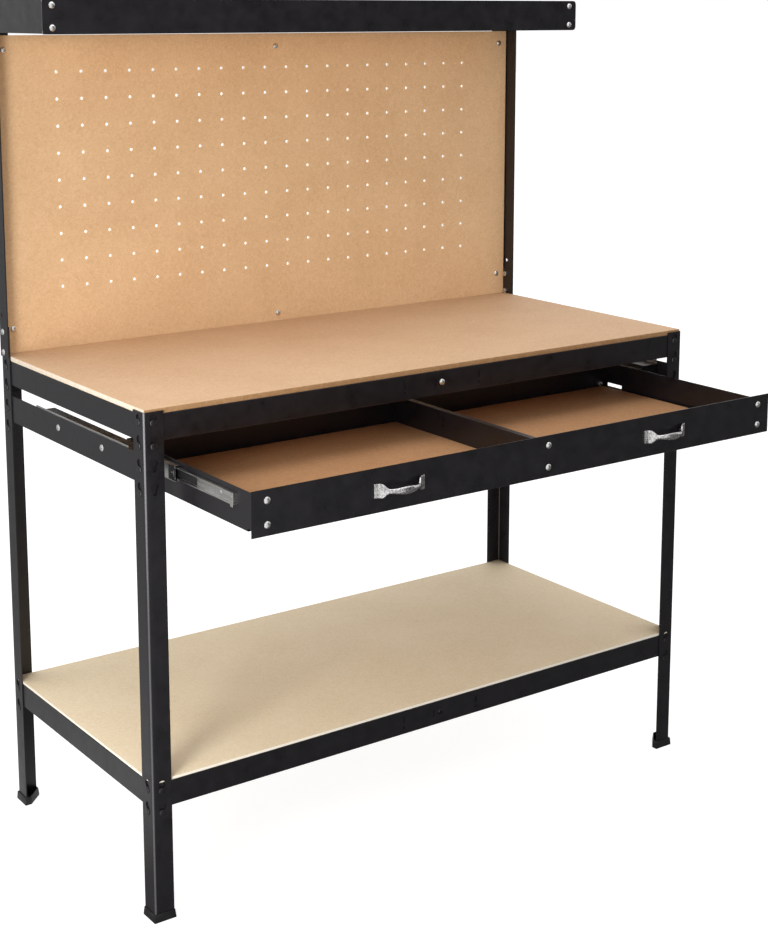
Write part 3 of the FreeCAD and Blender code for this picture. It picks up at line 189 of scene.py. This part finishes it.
def fibreboard(name, light, mid, dark, edge, thin_axis, front=None):
    """Pressed wood fibre, sanded on its faces and sawn at its edges: a warm face with soft clouds
    and short 1 to 4 mm fibres, and a paler, woolly edge. When a front colour is given, the sawn
    edge that faces the front is a darker brown than the other edges."""
    material, tree, place = new_material(name)
    cloud = noise(tree, place, 7, 3, 0.5)
    mottle = noise(tree, place, 90, 4, 0.7, 1.4)
    fibre = noise(tree, place, 420, 3, 0.65, 2.5)
    clouded = maths(tree, "MULTIPLY_ADD", cloud, 0.2, fibre)
    mottled = maths(tree, "MULTIPLY_ADD", mottle, 0.4, clouded)
    face = ramp(tree, remap(tree, mottled, 0.5, 1.1), [(0.1, dark), (0.5, mid), (0.9, light)])
    normal = axes(tree, add(tree, "TexCoord").outputs["Normal"])
    sawn = maths(tree, "LESS_THAN", maths(tree, "ABSOLUTE", normal[thin_axis]), 0.6)
    wool = ramp(tree, mottle, [(0.3, edge), (0.8, light)])
    # The sawn edge facing the front gets its own darker brown.
    if front:
        front_edge_tone = ramp(tree, mottle, [(0.3, front), (0.8, dark)])
        wool = blend(tree, maths(tree, "LESS_THAN", normal["Y"], -0.6), wool, front_edge_tone)
    shader = add(tree, "BsdfPrincipled", values={
        "Roughness": 0.75, "IOR": 1.45, "Specular IOR Level": 0.3}, links={
        "Base Color": blend(tree, sawn, face, wool),
        "Normal": dents(tree, fibre, 0.12, 0.0003)})
    close_material(tree, shader)
    return material


def moulded_polythene():
    """Black polythene from a steel mould: a fine spark-eroded grain and a waxy, broad shine."""
    material, tree, place = new_material("moulded_polythene")
    grain = noise(tree, place, 900)
    scuff = noise(tree, place, 60, 5, 0.7)
    shader = add(tree, "BsdfPrincipled", values={"Roughness": 0.48, "IOR": 1.5}, links={
        "Base Color": ramp(tree, scuff, [(0.35, "#131214"), (0.75, "#232224")]),
        "Normal": dents(tree, grain, 0.2, 0.0003)})
    close_material(tree, shader)
    return material


def close_metal(tree, pattern, colours, haze, bump):
    """Bare metal whose colour, shine and dents follow one pattern."""
    close_material(tree, add(tree, "BsdfPrincipled", values={"Metallic": 1}, links={
        "Base Color": ramp(tree, pattern, colours),
        "Roughness": remap(tree, pattern, 0.3, 0.7, *haze),
        "Normal": dents(tree, pattern, *bump)}))


def chromed_casting():
    """Polished zinc casting under bright chrome: mirror-like, with the soft waves of hand
    polishing."""
    material, tree, place = new_material("chromed_casting")
    close_metal(tree, noise(tree, place, 320), [(0.35, "#a3a1a4"), (0.6, "#e2e0dd")],
                (0.16, 0.3), (0.7, 0.0007))
    return material


def plated_zinc(name, light, dark, stretch):
    """Steel with bright zinc plating, also in a darkened copy that paints shade: a cool shine,
    patchy at 3 mm, drawn out along the rolling direction on strip."""
    material, tree, place = new_material(name)
    along = add(tree, "Mapping", values={"Scale": stretch}, links={"Vector": place})
    close_metal(tree, noise(tree, along.outputs["Vector"], 300, 4, 0.6),
                [(0.3, dark), (0.7, light)], (0.2, 0.38), (0.08, 0.0002))
    return material


COAT = powder_coated_steel()
WORKTOP = fibreboard("fibreboard_sanded", "#dfc1a0", "#d0ad8b", "#bc9672", "#e8e1d2", "Z",
                     "#9b7549")
PEGBOARD = fibreboard("fibreboard_punched", "#f2cfa5", "#e2bb90", "#cca377", "#f9eacb", "Y")
# The shelf and tray boards: a paler board than the worktop, set paler still as painted light for
# the shelf, which the worktop keeps in shade.
SHELF = fibreboard("fibreboard_pale", "#f9ebd1", "#f0ddbc", "#dfc8a3", "#f9f4ea", "Z")
# The drawer's bottom is the same fibreboard as the worktop in a darker, browner copy: painted
# shade for the inside of the drawer.
SHADED_DRAWER_BOARD = fibreboard("fibreboard_drawer_painted_shade", "#c99b72", "#b5865e", "#9d7049", "#d8b98c", "Z")
POLYTHENE = moulded_polythene()
CHROME = chromed_casting()
ZINC = plated_zinc("zinc_plated_fasteners", "#f4f4f2", "#cdcdcb", (1, 1, 1))
# A darkened copy of the zinc, as painted shade.
ZINC_PAINTED_SHADE = plated_zinc("zinc_fasteners_painted_shade", "#4a494b", "#242325", (1, 1, 1))
STRIP = plated_zinc("zinc_plated_strip", "#edece9", "#c4c3c0", (1, 0.06, 1))

FINISHES = {
    "frame_paint": COAT,
    "cap_plastic": POLYTHENE,
    "worktop_fibreboard": WORKTOP,
    "shelf_fibreboard": SHELF,
    "drawer_fibreboard": SHADED_DRAWER_BOARD,
    "handle_chrome": CHROME,
    "zinc_bolts": ZINC,
    "slide_zinc": STRIP,
}


def dress(item, material):
    item.data.materials.clear()
    item.data.materials.append(material)


# Making pieces
def finish(mesh, name, material, body, replaced=(), smooth=35):
    """Turn a bmesh into a piece of the bench that rides on one body."""
    bmesh.ops.remove_doubles(mesh, verts=mesh.verts, dist=1e-6)
    bmesh.ops.recalc_face_normals(mesh, faces=mesh.faces)
    data = bpy.data.meshes.new(name)
    mesh.to_mesh(data)
    mesh.free()
    data.shade_smooth()
    data.set_sharp_from_angle(angle=math.radians(smooth))
    piece = bpy.data.objects.new(name, data)
    bpy.context.scene.collection.objects.link(piece)
    dress(piece, material)
    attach(piece, body)
    if replaced:
        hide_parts(*replaced)
    return piece


def pull(mesh, faces, way):
    """Draw faces out into a solid and return the corners that moved."""
    block = bmesh.ops.extrude_face_region(mesh, geom=faces)
    moved = [part for part in block["geom"] if isinstance(part, bmesh.types.BMVert)]
    bmesh.ops.translate(mesh, vec=way, verts=moved)
    return moved


def ease(mesh, edges, width, segments=2):
    bmesh.ops.bevel(mesh, geom=edges, offset=width, segments=segments, affect="EDGES",
                    profile=0.5, material=-1)


def eased_board(node, material, body, width=0.6 * MM):
    """A board in place of its plain solid, with the sawn edges lightly eased."""
    low, high = (Vector(corner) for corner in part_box(node))
    mesh = bmesh.new()
    bmesh.ops.create_cube(mesh, size=1)
    bmesh.ops.scale(mesh, vec=high - low, verts=mesh.verts)
    bmesh.ops.translate(mesh, vec=(low + high) / 2, verts=mesh.verts)
    ease(mesh, mesh.edges[:], width)
    return finish(mesh, node + "_eased", material, body, [node])


def add_ring(mesh, radius, centre, count):
    """A closed ring of edges in the XZ plane."""
    turn = Matrix.Translation(centre) @ Matrix.Rotation(math.pi / 2, 4, "X")
    return bmesh.ops.create_circle(mesh, cap_ends=False, radius=radius, segments=count,
                                   matrix=turn)


PEG_PITCH, PEG_RADIUS = 50 * MM, 3.3 * MM
LOWEST_PEG_ROW = 995 * MM


def punched_pegboard():
    """The pegboard with its twenty by nine round holes."""
    low, high = (Vector(corner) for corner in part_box("pegboard"))
    mesh = bmesh.new()
    corners = [mesh.verts.new((x, low.y, z)) for x, z in
               ((low.x, low.z), (high.x, low.z), (high.x, high.z), (low.x, high.z))]
    for i in range(4):
        mesh.edges.new((corners[i], corners[(i + 1) % 4]))
    for row in range(9):
        for column in range(20):
            spot = ((column - 9.5) * PEG_PITCH, low.y, LOWEST_PEG_ROW + row * PEG_PITCH)
            add_ring(mesh, PEG_RADIUS, spot, 14)
    bmesh.ops.triangle_fill(mesh, use_beauty=True, edges=mesh.edges[:])
    pull(mesh, mesh.faces[:], (0, high.y - low.y, 0))
    return finish(mesh, "pegboard_punched", PEGBOARD, "frame",
                  ["pegboard"])


# Legs and posts, made as the real ones are: a punched flat strip, then folded
KEYHOLE_RISE = {"keyhole": 11, "short keyhole": 7}
LEG_WIDTH, POST_WIDTH, SHEET, FOLD_STEPS = 36, 38, 2.0, 8


def keyhole(mesh, across, seat, rise):
    """The outline of a round entry above a narrower slot with a round end. The slot's sides run
    from its end straight to the entry."""
    slot, entry = 3.8, 6.6
    neck = math.asin(slot / entry)
    points = []
    for i in range(7):
        angle = math.pi + math.pi * i / 6
        points.append((slot * math.cos(angle), slot * math.sin(angle)))
    for i in range(13):
        angle = neck - math.pi / 2 + (math.tau - 2 * neck) * i / 12
        points.append((entry * math.cos(angle), rise + entry * math.sin(angle)))
    return outline(mesh, [(across + x, seat + z) for x, z in points])


def outline(mesh, points):
    verts = [mesh.verts.new((x * MM, 0, z * MM)) for x, z in points]
    return [mesh.edges.new((verts[i - 1], verts[i])) for i in range(len(verts))]


def punched_flange(mesh, left, right, height, holes):
    """One flat side of a strip, filled round its holes."""
    edges = outline(mesh, [(left, 0), (right, 0), (right, height), (left, height)])
    for kind, across, level in holes:
        if kind in KEYHOLE_RISE:
            edges += keyhole(mesh, across, level, KEYHOLE_RISE[kind])
        else:
            ring = add_ring(mesh, kind * MM, (across * MM, 0, level * MM), 16)["verts"]
            edges += dict.fromkeys(e for v in ring for e in v.link_edges)
    bmesh.ops.triangle_fill(mesh, use_beauty=True, edges=edges)


def folded_angle(name, nodes_replaced, corner, turn, low, high, width, holes, radius=4.0):
    """An angle with its outer corner on a place. Holes are given for its first side, which runs
    along +Y before it is turned, and its second, along +X: (kind, from the corner, height)."""
    flat = width - radius
    bend = radius * math.pi / 2
    mesh = bmesh.new()
    first = [(kind, width - across, level - low) for kind, across, level in holes[0]]
    second = [(kind, flat + bend + across - radius, level - low)
              for kind, across, level in holes[1]]
    punched_flange(mesh, 0, flat, high - low, first)
    punched_flange(mesh, flat + bend, flat * 2 + bend, high - low, second)
    for i in range(FOLD_STEPS):
        spots = [flat + bend * step / FOLD_STEPS for step in (i, i + 1)]
        corners = [(spots[0], 0), (spots[1], 0), (spots[1], high - low), (spots[0], high - low)]
        mesh.faces.new([mesh.verts.new((x * MM, 0, z * MM)) for x, z in corners])
    bmesh.ops.remove_doubles(mesh, verts=mesh.verts, dist=1e-6)
    pull(mesh, mesh.faces[:], (0, SHEET * MM, 0))
    for vert in mesh.verts:
        along, deep = vert.co.x / MM, vert.co.y / MM
        angle = min(max((along - flat) / radius, 0), math.pi / 2)
        x = radius - (radius - deep) * math.cos(angle) + max(along - flat - bend, 0)
        y = radius - (radius - deep) * math.sin(angle) + max(flat - along, 0)
        vert.co = Vector((x * MM, y * MM, vert.co.z))
    bmesh.ops.rotate(mesh, verts=mesh.verts, cent=(0, 0, 0),
                     matrix=Matrix.Rotation(turn, 3, "Z"))
    bmesh.ops.translate(mesh, verts=mesh.verts, vec=Vector((*corner, low)) * MM)
    return finish(mesh, name, COAT, "frame", nodes_replaced, 50)


def legs_and_posts():
    line = LEG_WIDTH / 2
    keyholes = [("keyhole", line, seat) for seat in (819, 780, 741, 232, 193)]
    keyholes.append(("short keyhole", line, 858))
    foot, front_top, rear_top = 3, 876, 935
    quarter = math.pi / 2
    for name, corner, turns, top in (
            ("front_left", (-LEG_SIDE, LEG_FRONT), 0, front_top),
            ("front_right", (LEG_SIDE, LEG_FRONT), 1, front_top),
            ("rear_right", (LEG_SIDE, LEG_REAR), 2, rear_top),
            ("rear_left", (-LEG_SIDE, LEG_REAR), 3, rear_top)):
        folded_angle(name + "_leg_folded", [name + "_leg"], corner, turns * quarter, foot, top,
                     LEG_WIDTH, (keyholes, keyholes))
    spare = [(3.6, 16, 954)]
    foot, top = 877, 1526
    for name, corner, turns, holes in (
            ("right_post", (POST_SIDE, POST_REAR), 2, (spare, [])),
            ("left_post", (-POST_SIDE, POST_REAR), 3, ([], spare))):
        folded_angle(name + "_folded", [name], corner, turns * quarter, foot, top, POST_WIDTH,
                     holes)


# Fasteners: one form of each kind, copied to its places
def turned(profile, count):
    """A shape turned about +Z from (radius, height) pairs."""
    mesh = bmesh.new()
    verts = [mesh.verts.new((radius * MM, 0, height * MM)) for radius, height in profile]
    edges = [mesh.edges.new(pair) for pair in zip(verts, verts[1:])]
    bmesh.ops.spin(mesh, geom=verts + edges, cent=(0, 0, 0), axis=(0, 0, 1),
                   angle=math.tau, steps=count, use_merge=True, use_duplicate=False)
    bmesh.ops.remove_doubles(mesh, verts=mesh.verts, dist=1e-6)
    return mesh


def add_nut(mesh, level, height, radius):
    """A hexagon nut with its corners chamfered, standing on the given level."""
    ring = bmesh.ops.create_cone(mesh, cap_ends=True, segments=6, radius1=radius * MM,
                                 radius2=radius * MM, depth=height * MM,
                                 matrix=Matrix.Translation((0, 0, (level + height / 2) * MM)))
    top = [e for e in mesh.edges if all(v in ring["verts"] for v in e.verts)
           and all(abs(v.co.z - level * MM) < 1e-6 for v in e.verts)]
    ease(mesh, top, 0.5 * MM, 1)


def coach_bolt(grip):
    """A bolt along +Z: a low domed head on the origin, and a nut and thread end below."""
    mesh = turned([(0, 3), (2, 2.8), (3.8, 2.2), (5.2, 1.2), (5.9, 0.4), (6, 0)], 20)
    shaft = turned([(0, -grip - 4), (1.7, -grip - 4), (2.4, -grip - 3.4), (2.4, 0)], 10)
    join(mesh, shaft)
    add_nut(mesh, -grip - 4, 4, 5.5)
    return mesh


def hooked_stud():
    """A flat riveted head on a short shank."""
    mesh = turned([(0, 1.8), (4.2, 1.8), (5.6, 1.3), (6, 0.7), (6, 0)], 20)
    join(mesh, turned([(3.4, -2), (3.4, 0)], 14))
    return mesh


def join(mesh, other, matrix=Matrix()):
    """Add a copy of another bmesh, moved by a matrix, and free the other."""
    data = bpy.data.meshes.new("joined")
    other.to_mesh(data)
    other.free()
    data.transform(matrix)
    mesh.from_mesh(data)
    bpy.data.meshes.remove(data)


def spread(mesh, form, spots):
    """Copies of a form at (x, y, z, direction of its +Z) places in millimetres."""
    data = bpy.data.meshes.new("form")
    form.to_mesh(data)
    form.free()
    for x, y, z, direction in spots:
        turn = Vector(direction).to_track_quat("Z", "X").to_matrix().to_4x4()
        copy = data.copy()
        copy.transform(Matrix.Translation((x * MM, y * MM, z * MM)) @ turn)
        mesh.from_mesh(copy)
        bpy.data.meshes.remove(copy)
    bpy.data.meshes.remove(data)


FORWARD = (0, -1, 0)
BACK = (0, 1, 0)


def on_both_sides(x, depths, heights):
    """Places on the left and right faces, heads outwards."""
    return [(side * x, y, z, (side, 0, 0)) for side in (-1, 1) for y in depths for z in heights]


def facing(x_places, y, heights, direction):
    return [(x, y, z, direction) for x in x_places for z in heights]


def fasteners():
    studs = on_both_sides(LEG_SIDE, (-118.5, 405.5), BEAM_SEATS + RAIL_SEATS)
    studs += facing((-582, 582), LEG_FRONT, BEAM_SEATS, FORWARD)
    studs += facing((-582, 582), LEG_REAR, BEAM_SEATS, BACK)
    mesh = bmesh.new()
    spread(mesh, hooked_stud(), studs)
    finish(mesh, "frame_studs_headed", COAT, "frame", ["frame_studs"])

    # Each group: its body, and the grip length and places of each length of bolt
    groups = {
        "post_bolts": ("frame", [(4, on_both_sides(POST_SIDE, (409.5,), (885, 923)))]),
        "tray_bolts": ("frame", [
            (3.2, on_both_sides(POST_SIDE, (409.5,), TRAY_SEATS)),
            (2.4, facing((-582, 582), TRAY_FRONT, TRAY_SEATS, FORWARD))]),
        "pegboard_bolts": ("frame", [
            (8, facing((-577, 577), PEGBOARD_FRONT, (924.5, 1436), FORWARD)),
            (6, facing((0,), PEGBOARD_FRONT, (895, 1436), FORWARD))]),
        "brace_bolts": ("frame", [
            (3, facing((0,), BEAM_FRONT, (849,), FORWARD)),
            (5, facing((0,), LEG_REAR, (849,), BACK))]),
        "rail_bolts": ("frame", [(3, on_both_sides(RAIL_SIDE, (19.5, 189.5), (786,)))]),
        "drawer_bolts": ("drawer", [
            (2.4, facing((-534, 21.2, 534), DRAWER_FRONT, DRAWER_SEATS, FORWARD)),
            (2.4, facing((-534, 21.2, 534), DRAWER_REAR, DRAWER_SEATS, BACK))]),
    }
    for node, (body, kinds) in groups.items():
        mesh = bmesh.new()
        for grip, spots in kinds:
            spread(mesh, coach_bolt(grip), spots)
        finish(mesh, node + "_domed", ZINC, body, [node])
    # The shelf's brace bolts are the same as the worktop's, in the darkened copy of the zinc:
    # painted shade for their place under the worktop.
    mesh = bmesh.new()
    spread(mesh, coach_bolt(3), facing((0,), BEAM_FRONT, (223,), FORWARD))
    spread(mesh, coach_bolt(3), facing((0,), SHELF_BEAM_REAR, (223,), BACK))
    finish(mesh, "shelf_brace_bolts_domed", ZINC_PAINTED_SHADE, "frame")


# Foot caps
def foot_cap(node, x_sign, y_sign):
    """A moulded shoe that flares towards the floor, open at the top round the leg."""
    low, high = (Vector(corner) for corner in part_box(node))
    outer_x = low.x if x_sign < 0 else high.x
    outer_y = low.y if y_sign < 0 else high.y
    wide = (high.x - low.x) / MM
    tall = high.z - low.z
    stub = 12.3
    mesh = bmesh.new()
    plan = [(0, 0), (wide, 0), (wide, stub), (stub, wide), (0, wide)]
    base = mesh.faces.new([mesh.verts.new((x * MM, y * MM, 0)) for x, y in plan])
    top = pull(mesh, [base], (0, 0, tall))
    middle = Vector((14 * MM, 14 * MM, 0))
    bmesh.ops.scale(mesh, vec=(0.93, 0.93, 1), verts=top, space=Matrix.Translation(-middle))
    rim = next(f for f in mesh.faces if all(v in top for v in f.verts))
    bmesh.ops.inset_region(mesh, faces=[rim], thickness=2 * MM, use_even_offset=True)
    floor = pull(mesh, [rim], (0, 0, 3 * MM - tall))
    bmesh.ops.delete(mesh, geom=[rim], context="FACES_ONLY")
    sharp = 0.6
    outside = [e for e in mesh.edges if len(e.link_faces) == 2 and e.calc_face_angle(0) > sharp
               and not any(v in floor for v in e.verts)]
    ease(mesh, outside, 0.8 * MM)
    bmesh.ops.scale(mesh, vec=(-x_sign, -y_sign, 1), verts=mesh.verts)
    bmesh.ops.translate(mesh, vec=(outer_x, outer_y, low.z), verts=mesh.verts)
    return finish(mesh, node + "_moulded", POLYTHENE, "frame", [node], 40)


# Handles
def cast_handle(node, x):
    """One casting: flared foot plates, narrow necks and a grip that swells in the middle."""
    half = HANDLE_FOOT
    stations = 40
    rings = []
    mesh = bmesh.new()
    for i in range(stations + 1):
        share = i / stations
        spot, turn, wide, thick, square = handle_station(share, half)
        ring = bmesh.ops.create_circle(mesh, cap_ends=False, radius=1, segments=20)["verts"]
        for vert in ring:
            angle = math.atan2(vert.co.y, vert.co.x)
            across = math.copysign(abs(math.cos(angle)) ** square, math.cos(angle))
            upward = math.copysign(abs(math.sin(angle)) ** square, math.sin(angle))
            vert.co = Vector((0, across * thick, upward * wide))
        bmesh.ops.rotate(mesh, verts=ring, cent=(0, 0, 0), matrix=Matrix.Rotation(turn, 3, "Z"))
        bmesh.ops.translate(mesh, verts=ring, vec=spot)
        rings.append(ring)
    for near, far in zip(rings, rings[1:]):
        edges = [e for ring in (near, far) for v in ring for e in v.link_edges
                 if e.other_vert(v) in ring]
        bmesh.ops.bridge_loops(mesh, edges=list(dict.fromkeys(edges)))
    bmesh.ops.holes_fill(mesh, edges=[e for e in mesh.edges if e.is_boundary], sides=40)
    bmesh.ops.scale(mesh, vec=(MM, MM, MM), verts=mesh.verts)
    bmesh.ops.translate(mesh, vec=(x * MM, DRAWER_FRONT * MM, HANDLE_LEVEL * MM),
                        verts=mesh.verts)
    return finish(mesh, node + "_cast", CHROME, "drawer", [node], 60)


def smooth_step(value, start, stop):
    share = min(max((value - start) / (stop - start), 0), 1)
    return share * share * (3 - 2 * share)


def bow_rise(along, half):
    """How far the bow stands off the drawer: domed feet, steep necks, a nearly level grip."""
    share = min(max((half - 2 - abs(along)) / (half - 2), 0), 1)
    swell = 2.4 * math.cos(max(abs(along) - half + 5, 0) / 12.5 * math.pi / 2)
    return 20.8 * math.sin(share ** 0.75 * math.pi / 2) ** 1.1 + swell


def handle_station(share, half):
    """Place, turn, half height, half thickness and squareness of one section of a handle."""
    along = (share * 2 - 1) * (half + 7)
    away = abs(along)
    depth = -1.3 - bow_rise(along, half)
    turn = math.atan2(bow_rise(along - 0.4, half) - bow_rise(along + 0.4, half), 0.8)
    plate = smooth_step(away, half - 14, half - 4)
    grip = 1 - smooth_step(away, 2, half - 14)
    wide = 3.9 + 2.3 * grip + 8 * plate
    thick = 3.3 - 2.1 * smooth_step(away, half - 14, half - 3)
    square = 1 - 0.6 * smooth_step(away, half - 12, half - 5)
    return Vector((along, depth, 0)), turn, wide, thick, square


def handle_screws():
    """A pan-head screw behind each foot of the handles, driven from inside the drawer."""
    mesh = bmesh.new()
    head = turned([(0, 2), (2.4, 1.8), (3.6, 1), (3.9, 0)], 16)
    inside = DRAWER_FRONT + 1.2
    spots = [(x + foot, inside, HANDLE_LEVEL, BACK)
             for x in HANDLES for foot in (-HANDLE_FOOT, HANDLE_FOOT)]
    spread(mesh, head, spots)
    finish(mesh, "handle_screws", ZINC, "drawer")


# Slides
def plate_on_slide(name, material, body, face, outwards, pieces, thick):
    """Flat plates standing on a face of a slide: (front, rear, bottom, top) of each."""
    mesh = bmesh.new()
    for front, rear, low, high in pieces:
        base = mesh.faces.new([mesh.verts.new((face * MM, y * MM, z * MM)) for y, z in
                               ((front, low), (rear, low), (rear, high), (front, high))])
        pull(mesh, [base], (outwards * thick * MM, 0, 0))
    ease(mesh, mesh.edges[:], min(thick * 0.3, 0.3) * MM, 1)
    return finish(mesh, name, material, body)


def slide_details(name, side):
    """Rivets, the release lever and stop of the drawer's member, the middle member's end clip and
    latch, the upright edge behind the rail, and the balls that run in the two cages."""
    level = SLIDE_LEVEL
    web, lips, middle_lips, clip, upright = (
        side * x for x in (548.2, 554.4, 557.3, 558.0, 595.4))
    rivet = turned([(0, 1.3), (1.6, 1.15), (2.6, 0.6), (3, 0)], 14)
    mesh = bmesh.new()
    spread(mesh, rivet, [(web, y, level, (side, 0, 0)) for y in (-288, -100, -12)])
    finish(mesh, name + "_slide_rivets", ZINC, "drawer")
    middle = name + "_slide_middle_member"
    for piece, material, body, face, thick, plates in (
            ("release_lever", POLYTHENE, "drawer", web, 1.0,
             [(-214, -146, level - 7.6, level + 7.6)]),
            ("end_strap", STRIP, "drawer", lips, 1.0, [(-335.4, -328, 762, 784.4)]),
            ("end_clip", POLYTHENE, middle, middle_lips, 0.7,
             [(-158.4, -138, level - 11.8, level + 11.8)]),
            ("latch", ZINC, middle, clip, 0.4,
             [(-156, -154.2, 770, 780), (-154.2, -147, 775.2, 777)]),
            ("slide_upright", STRIP, "frame", upright, 1.1, [(-74.5, 283.5, 799, 809.2)])):
        plate_on_slide(f"{name}_{piece}", material, body, face, side, plates, thick)
    for row, start, track, depth in (("outer", -21.75, 14.95, 4.6),
                                     ("inner", -129.25, 11.0, 6.6)):
        ball = bmesh.new()
        bmesh.ops.create_icosphere(ball, subdivisions=1, radius=1.3 * MM)
        spots = [(side * (559.7 - depth), start + 8 + i * 8, level + lane, (0, 0, 1))
                 for i in range(14) for lane in (-track, track)]
        mesh = bmesh.new()
        spread(mesh, ball, spots)
        finish(mesh, f"{name}_{row}_bearing_balls", ZINC, f"{name}_{row}_balls")


# The bench
for entry in frame["record"]["subparts"]:
    dress(nodes[entry["node"]], FINISHES[entry["material_slot"]])

eased_board("worktop_board", WORKTOP, "frame", 0.8 * MM)
eased_board("shelf_board", SHELF, "frame")
eased_board("tray_board", SHELF, "frame")
eased_board("drawer_bottom", SHADED_DRAWER_BOARD, "drawer")
punched_pegboard()
fasteners()
for corner, x_sign, y_sign in (("front_left", -1, -1), ("front_right", 1, -1),
                               ("rear_left", -1, 1), ("rear_right", 1, 1)):
    foot_cap(corner + "_foot_cap", x_sign, y_sign)
legs_and_posts()
cast_handle("left_handle", HANDLES[0])
cast_handle("right_handle", HANDLES[1])
handle_screws()
for name, side in (("left", -1), ("right", 1)):
    slide_details(name, side)


# Stage: floor, light and camera
DARK_CORNER = (0.6, -0.8, 0)
BEHIND_LEFT = (-0.58, 0.81, 0)


def area_lamp(name, place, target, size, power, mirrored=True):
    lamp = bpy.data.lights.new(name, "AREA")
    lamp.shape = "RECTANGLE"
    lamp.size, lamp.size_y = size
    lamp.energy = power
    item = bpy.data.objects.new(name, lamp)
    item.location = place
    item.rotation_euler = (Vector(target) - Vector(place)).to_track_quat("-Z", "Y").to_euler()
    item.visible_camera = False
    item.visible_glossy = mirrored
    bpy.context.scene.collection.objects.link(item)


def seen_directly(tree):
    """1 where the camera or glass sees the surface, and 1 where a shiny face does."""
    path = add(tree, "LightPath").outputs
    either = maths(tree, "MAXIMUM", path["Is Camera Ray"], path["Is Transmission Ray"])
    return either, path["Is Glossy Ray"]


def glow(tree, strength):
    return add(tree, "Emission", values={"Strength": strength}).outputs[0]


def mix_shaders(tree, share, first, second):
    return add(tree, "MixShader", links={0: share, 1: first, 2: second})


def lay_floor():
    """White to the eye, pale grey in the light it gives back, darker where the front faces of
    the steel mirror it, in front of the bench and to the right, and a little where the left
    faces mirror it."""
    mesh = bmesh.new()
    bmesh.ops.create_grid(mesh, x_segments=1, y_segments=1, size=30)
    data = bpy.data.meshes.new("studio_floor")
    mesh.to_mesh(data)
    mesh.free()
    floor = bpy.data.objects.new("studio_floor", data)
    bpy.context.scene.collection.objects.link(floor)
    material, tree, place = new_material("studio_floor_card")
    shade = ramp(tree, noise(tree, place, 40), [(0.3, "#b0b0b0"), (0.7, "#b6b6b6")])
    card = add(tree, "BsdfPrincipled", values={"Roughness": 0.8}, links={"Base Color": shade})
    seen, mirrored = seen_directly(tree)
    bright = maths(tree, "MAXIMUM", seen, maths(tree, "MULTIPLY", mirrored, 0.45))
    light = mix_shaders(tree, bright, glow(tree, 0), glow(tree, 0.8))
    lit = add(tree, "AddShader", links={0: card.outputs[0], 1: light.outputs[0]})
    right = remap(tree, reach(tree, place, (-0.887, -0.46, 0)), 0.95, 0.55)
    ahead = remap(tree, axes(tree, place)["Y"], 0.4, 0.0, 0.0, 0.92)
    behind = remap(tree, reach(tree, place, BEHIND_LEFT), 0.4, 1.4, 0.0, 0.6)
    dark = maths(tree, "MAXIMUM", maths(tree, "MULTIPLY", right, ahead), behind)
    shaded = maths(tree, "MULTIPLY", dark, mirrored)
    close_material(tree, mix_shaders(tree, shaded, lit.outputs[0], glow(tree, 0.1)))
    dress(floor, material)


def light_world():
    """A white studio, brightest at eye level, with one dark side that the steel mirrors."""
    world = bpy.data.worlds.new("studio")
    world.use_nodes = True
    bpy.context.scene.world = world
    tree = world.node_tree
    tree.nodes.clear()
    direction = add(tree, "TexCoord").outputs["Generated"]
    walls = ramp(tree, axes(tree, direction)["Z"], [(0.0, 1.0), (0.35, 0.75), (1.0, 0.45)])
    corner = ramp(tree, reach(tree, direction, DARK_CORNER), [(0.68, 1.0), (0.92, 0.1)])
    level = add(tree, "Mix", {"data_type": "RGBA", "blend_type": "MULTIPLY"}, {"Factor": 1.0},
                {6: walls, 7: corner})
    seen, mirrored = seen_directly(tree)
    curtain = remap(tree, reach(tree, direction, BEHIND_LEFT), 0.5, 0.85, 0.0, 0.5)
    dim = add(tree, "Mix", {"data_type": "RGBA"}, {7: (0, 0, 0, 1)},
              {"Factor": maths(tree, "MULTIPLY", curtain, mirrored), 6: level.outputs[2]})
    soft = add(tree, "Background", values={"Strength": 1.4}, links={"Color": dim.outputs[2]})
    white = add(tree, "Background", values={"Color": (1, 1, 1, 1)})
    add(tree, "OutputWorld", links={"Surface": mix_shaders(
        tree, seen, soft.outputs[0], white.outputs[0]).outputs[0]})


def set_camera():
    """The camera that fits the photograph's straight edges best."""
    camera = bpy.data.cameras.new("photograph")
    camera.lens = 64.712
    camera.sensor_width = 36
    camera.shift_y = -0.1795
    item = bpy.data.objects.new("photograph", camera)
    item.location = (-1.8038, -2.4721, 1.5039)
    forward = Vector((0.57418, 0.80113, -0.16886))
    item.rotation_euler = forward.to_track_quat("-Z", "Y").to_euler()
    bpy.context.scene.collection.objects.link(item)
    bpy.context.scene.camera = item


lay_floor()
light_world()
area_lamp("key", (-2.2, -1.2, 1.0), (0, 0.1, 0.85), (0.7, 1.8), 35, mirrored=False)
area_lamp("top", (0.0, -0.3, 3.6), (0, 0, 0.8), (3.0, 2.0), 30)
set_camera()
bpy.context.scene.view_settings.view_transform = "Standard"
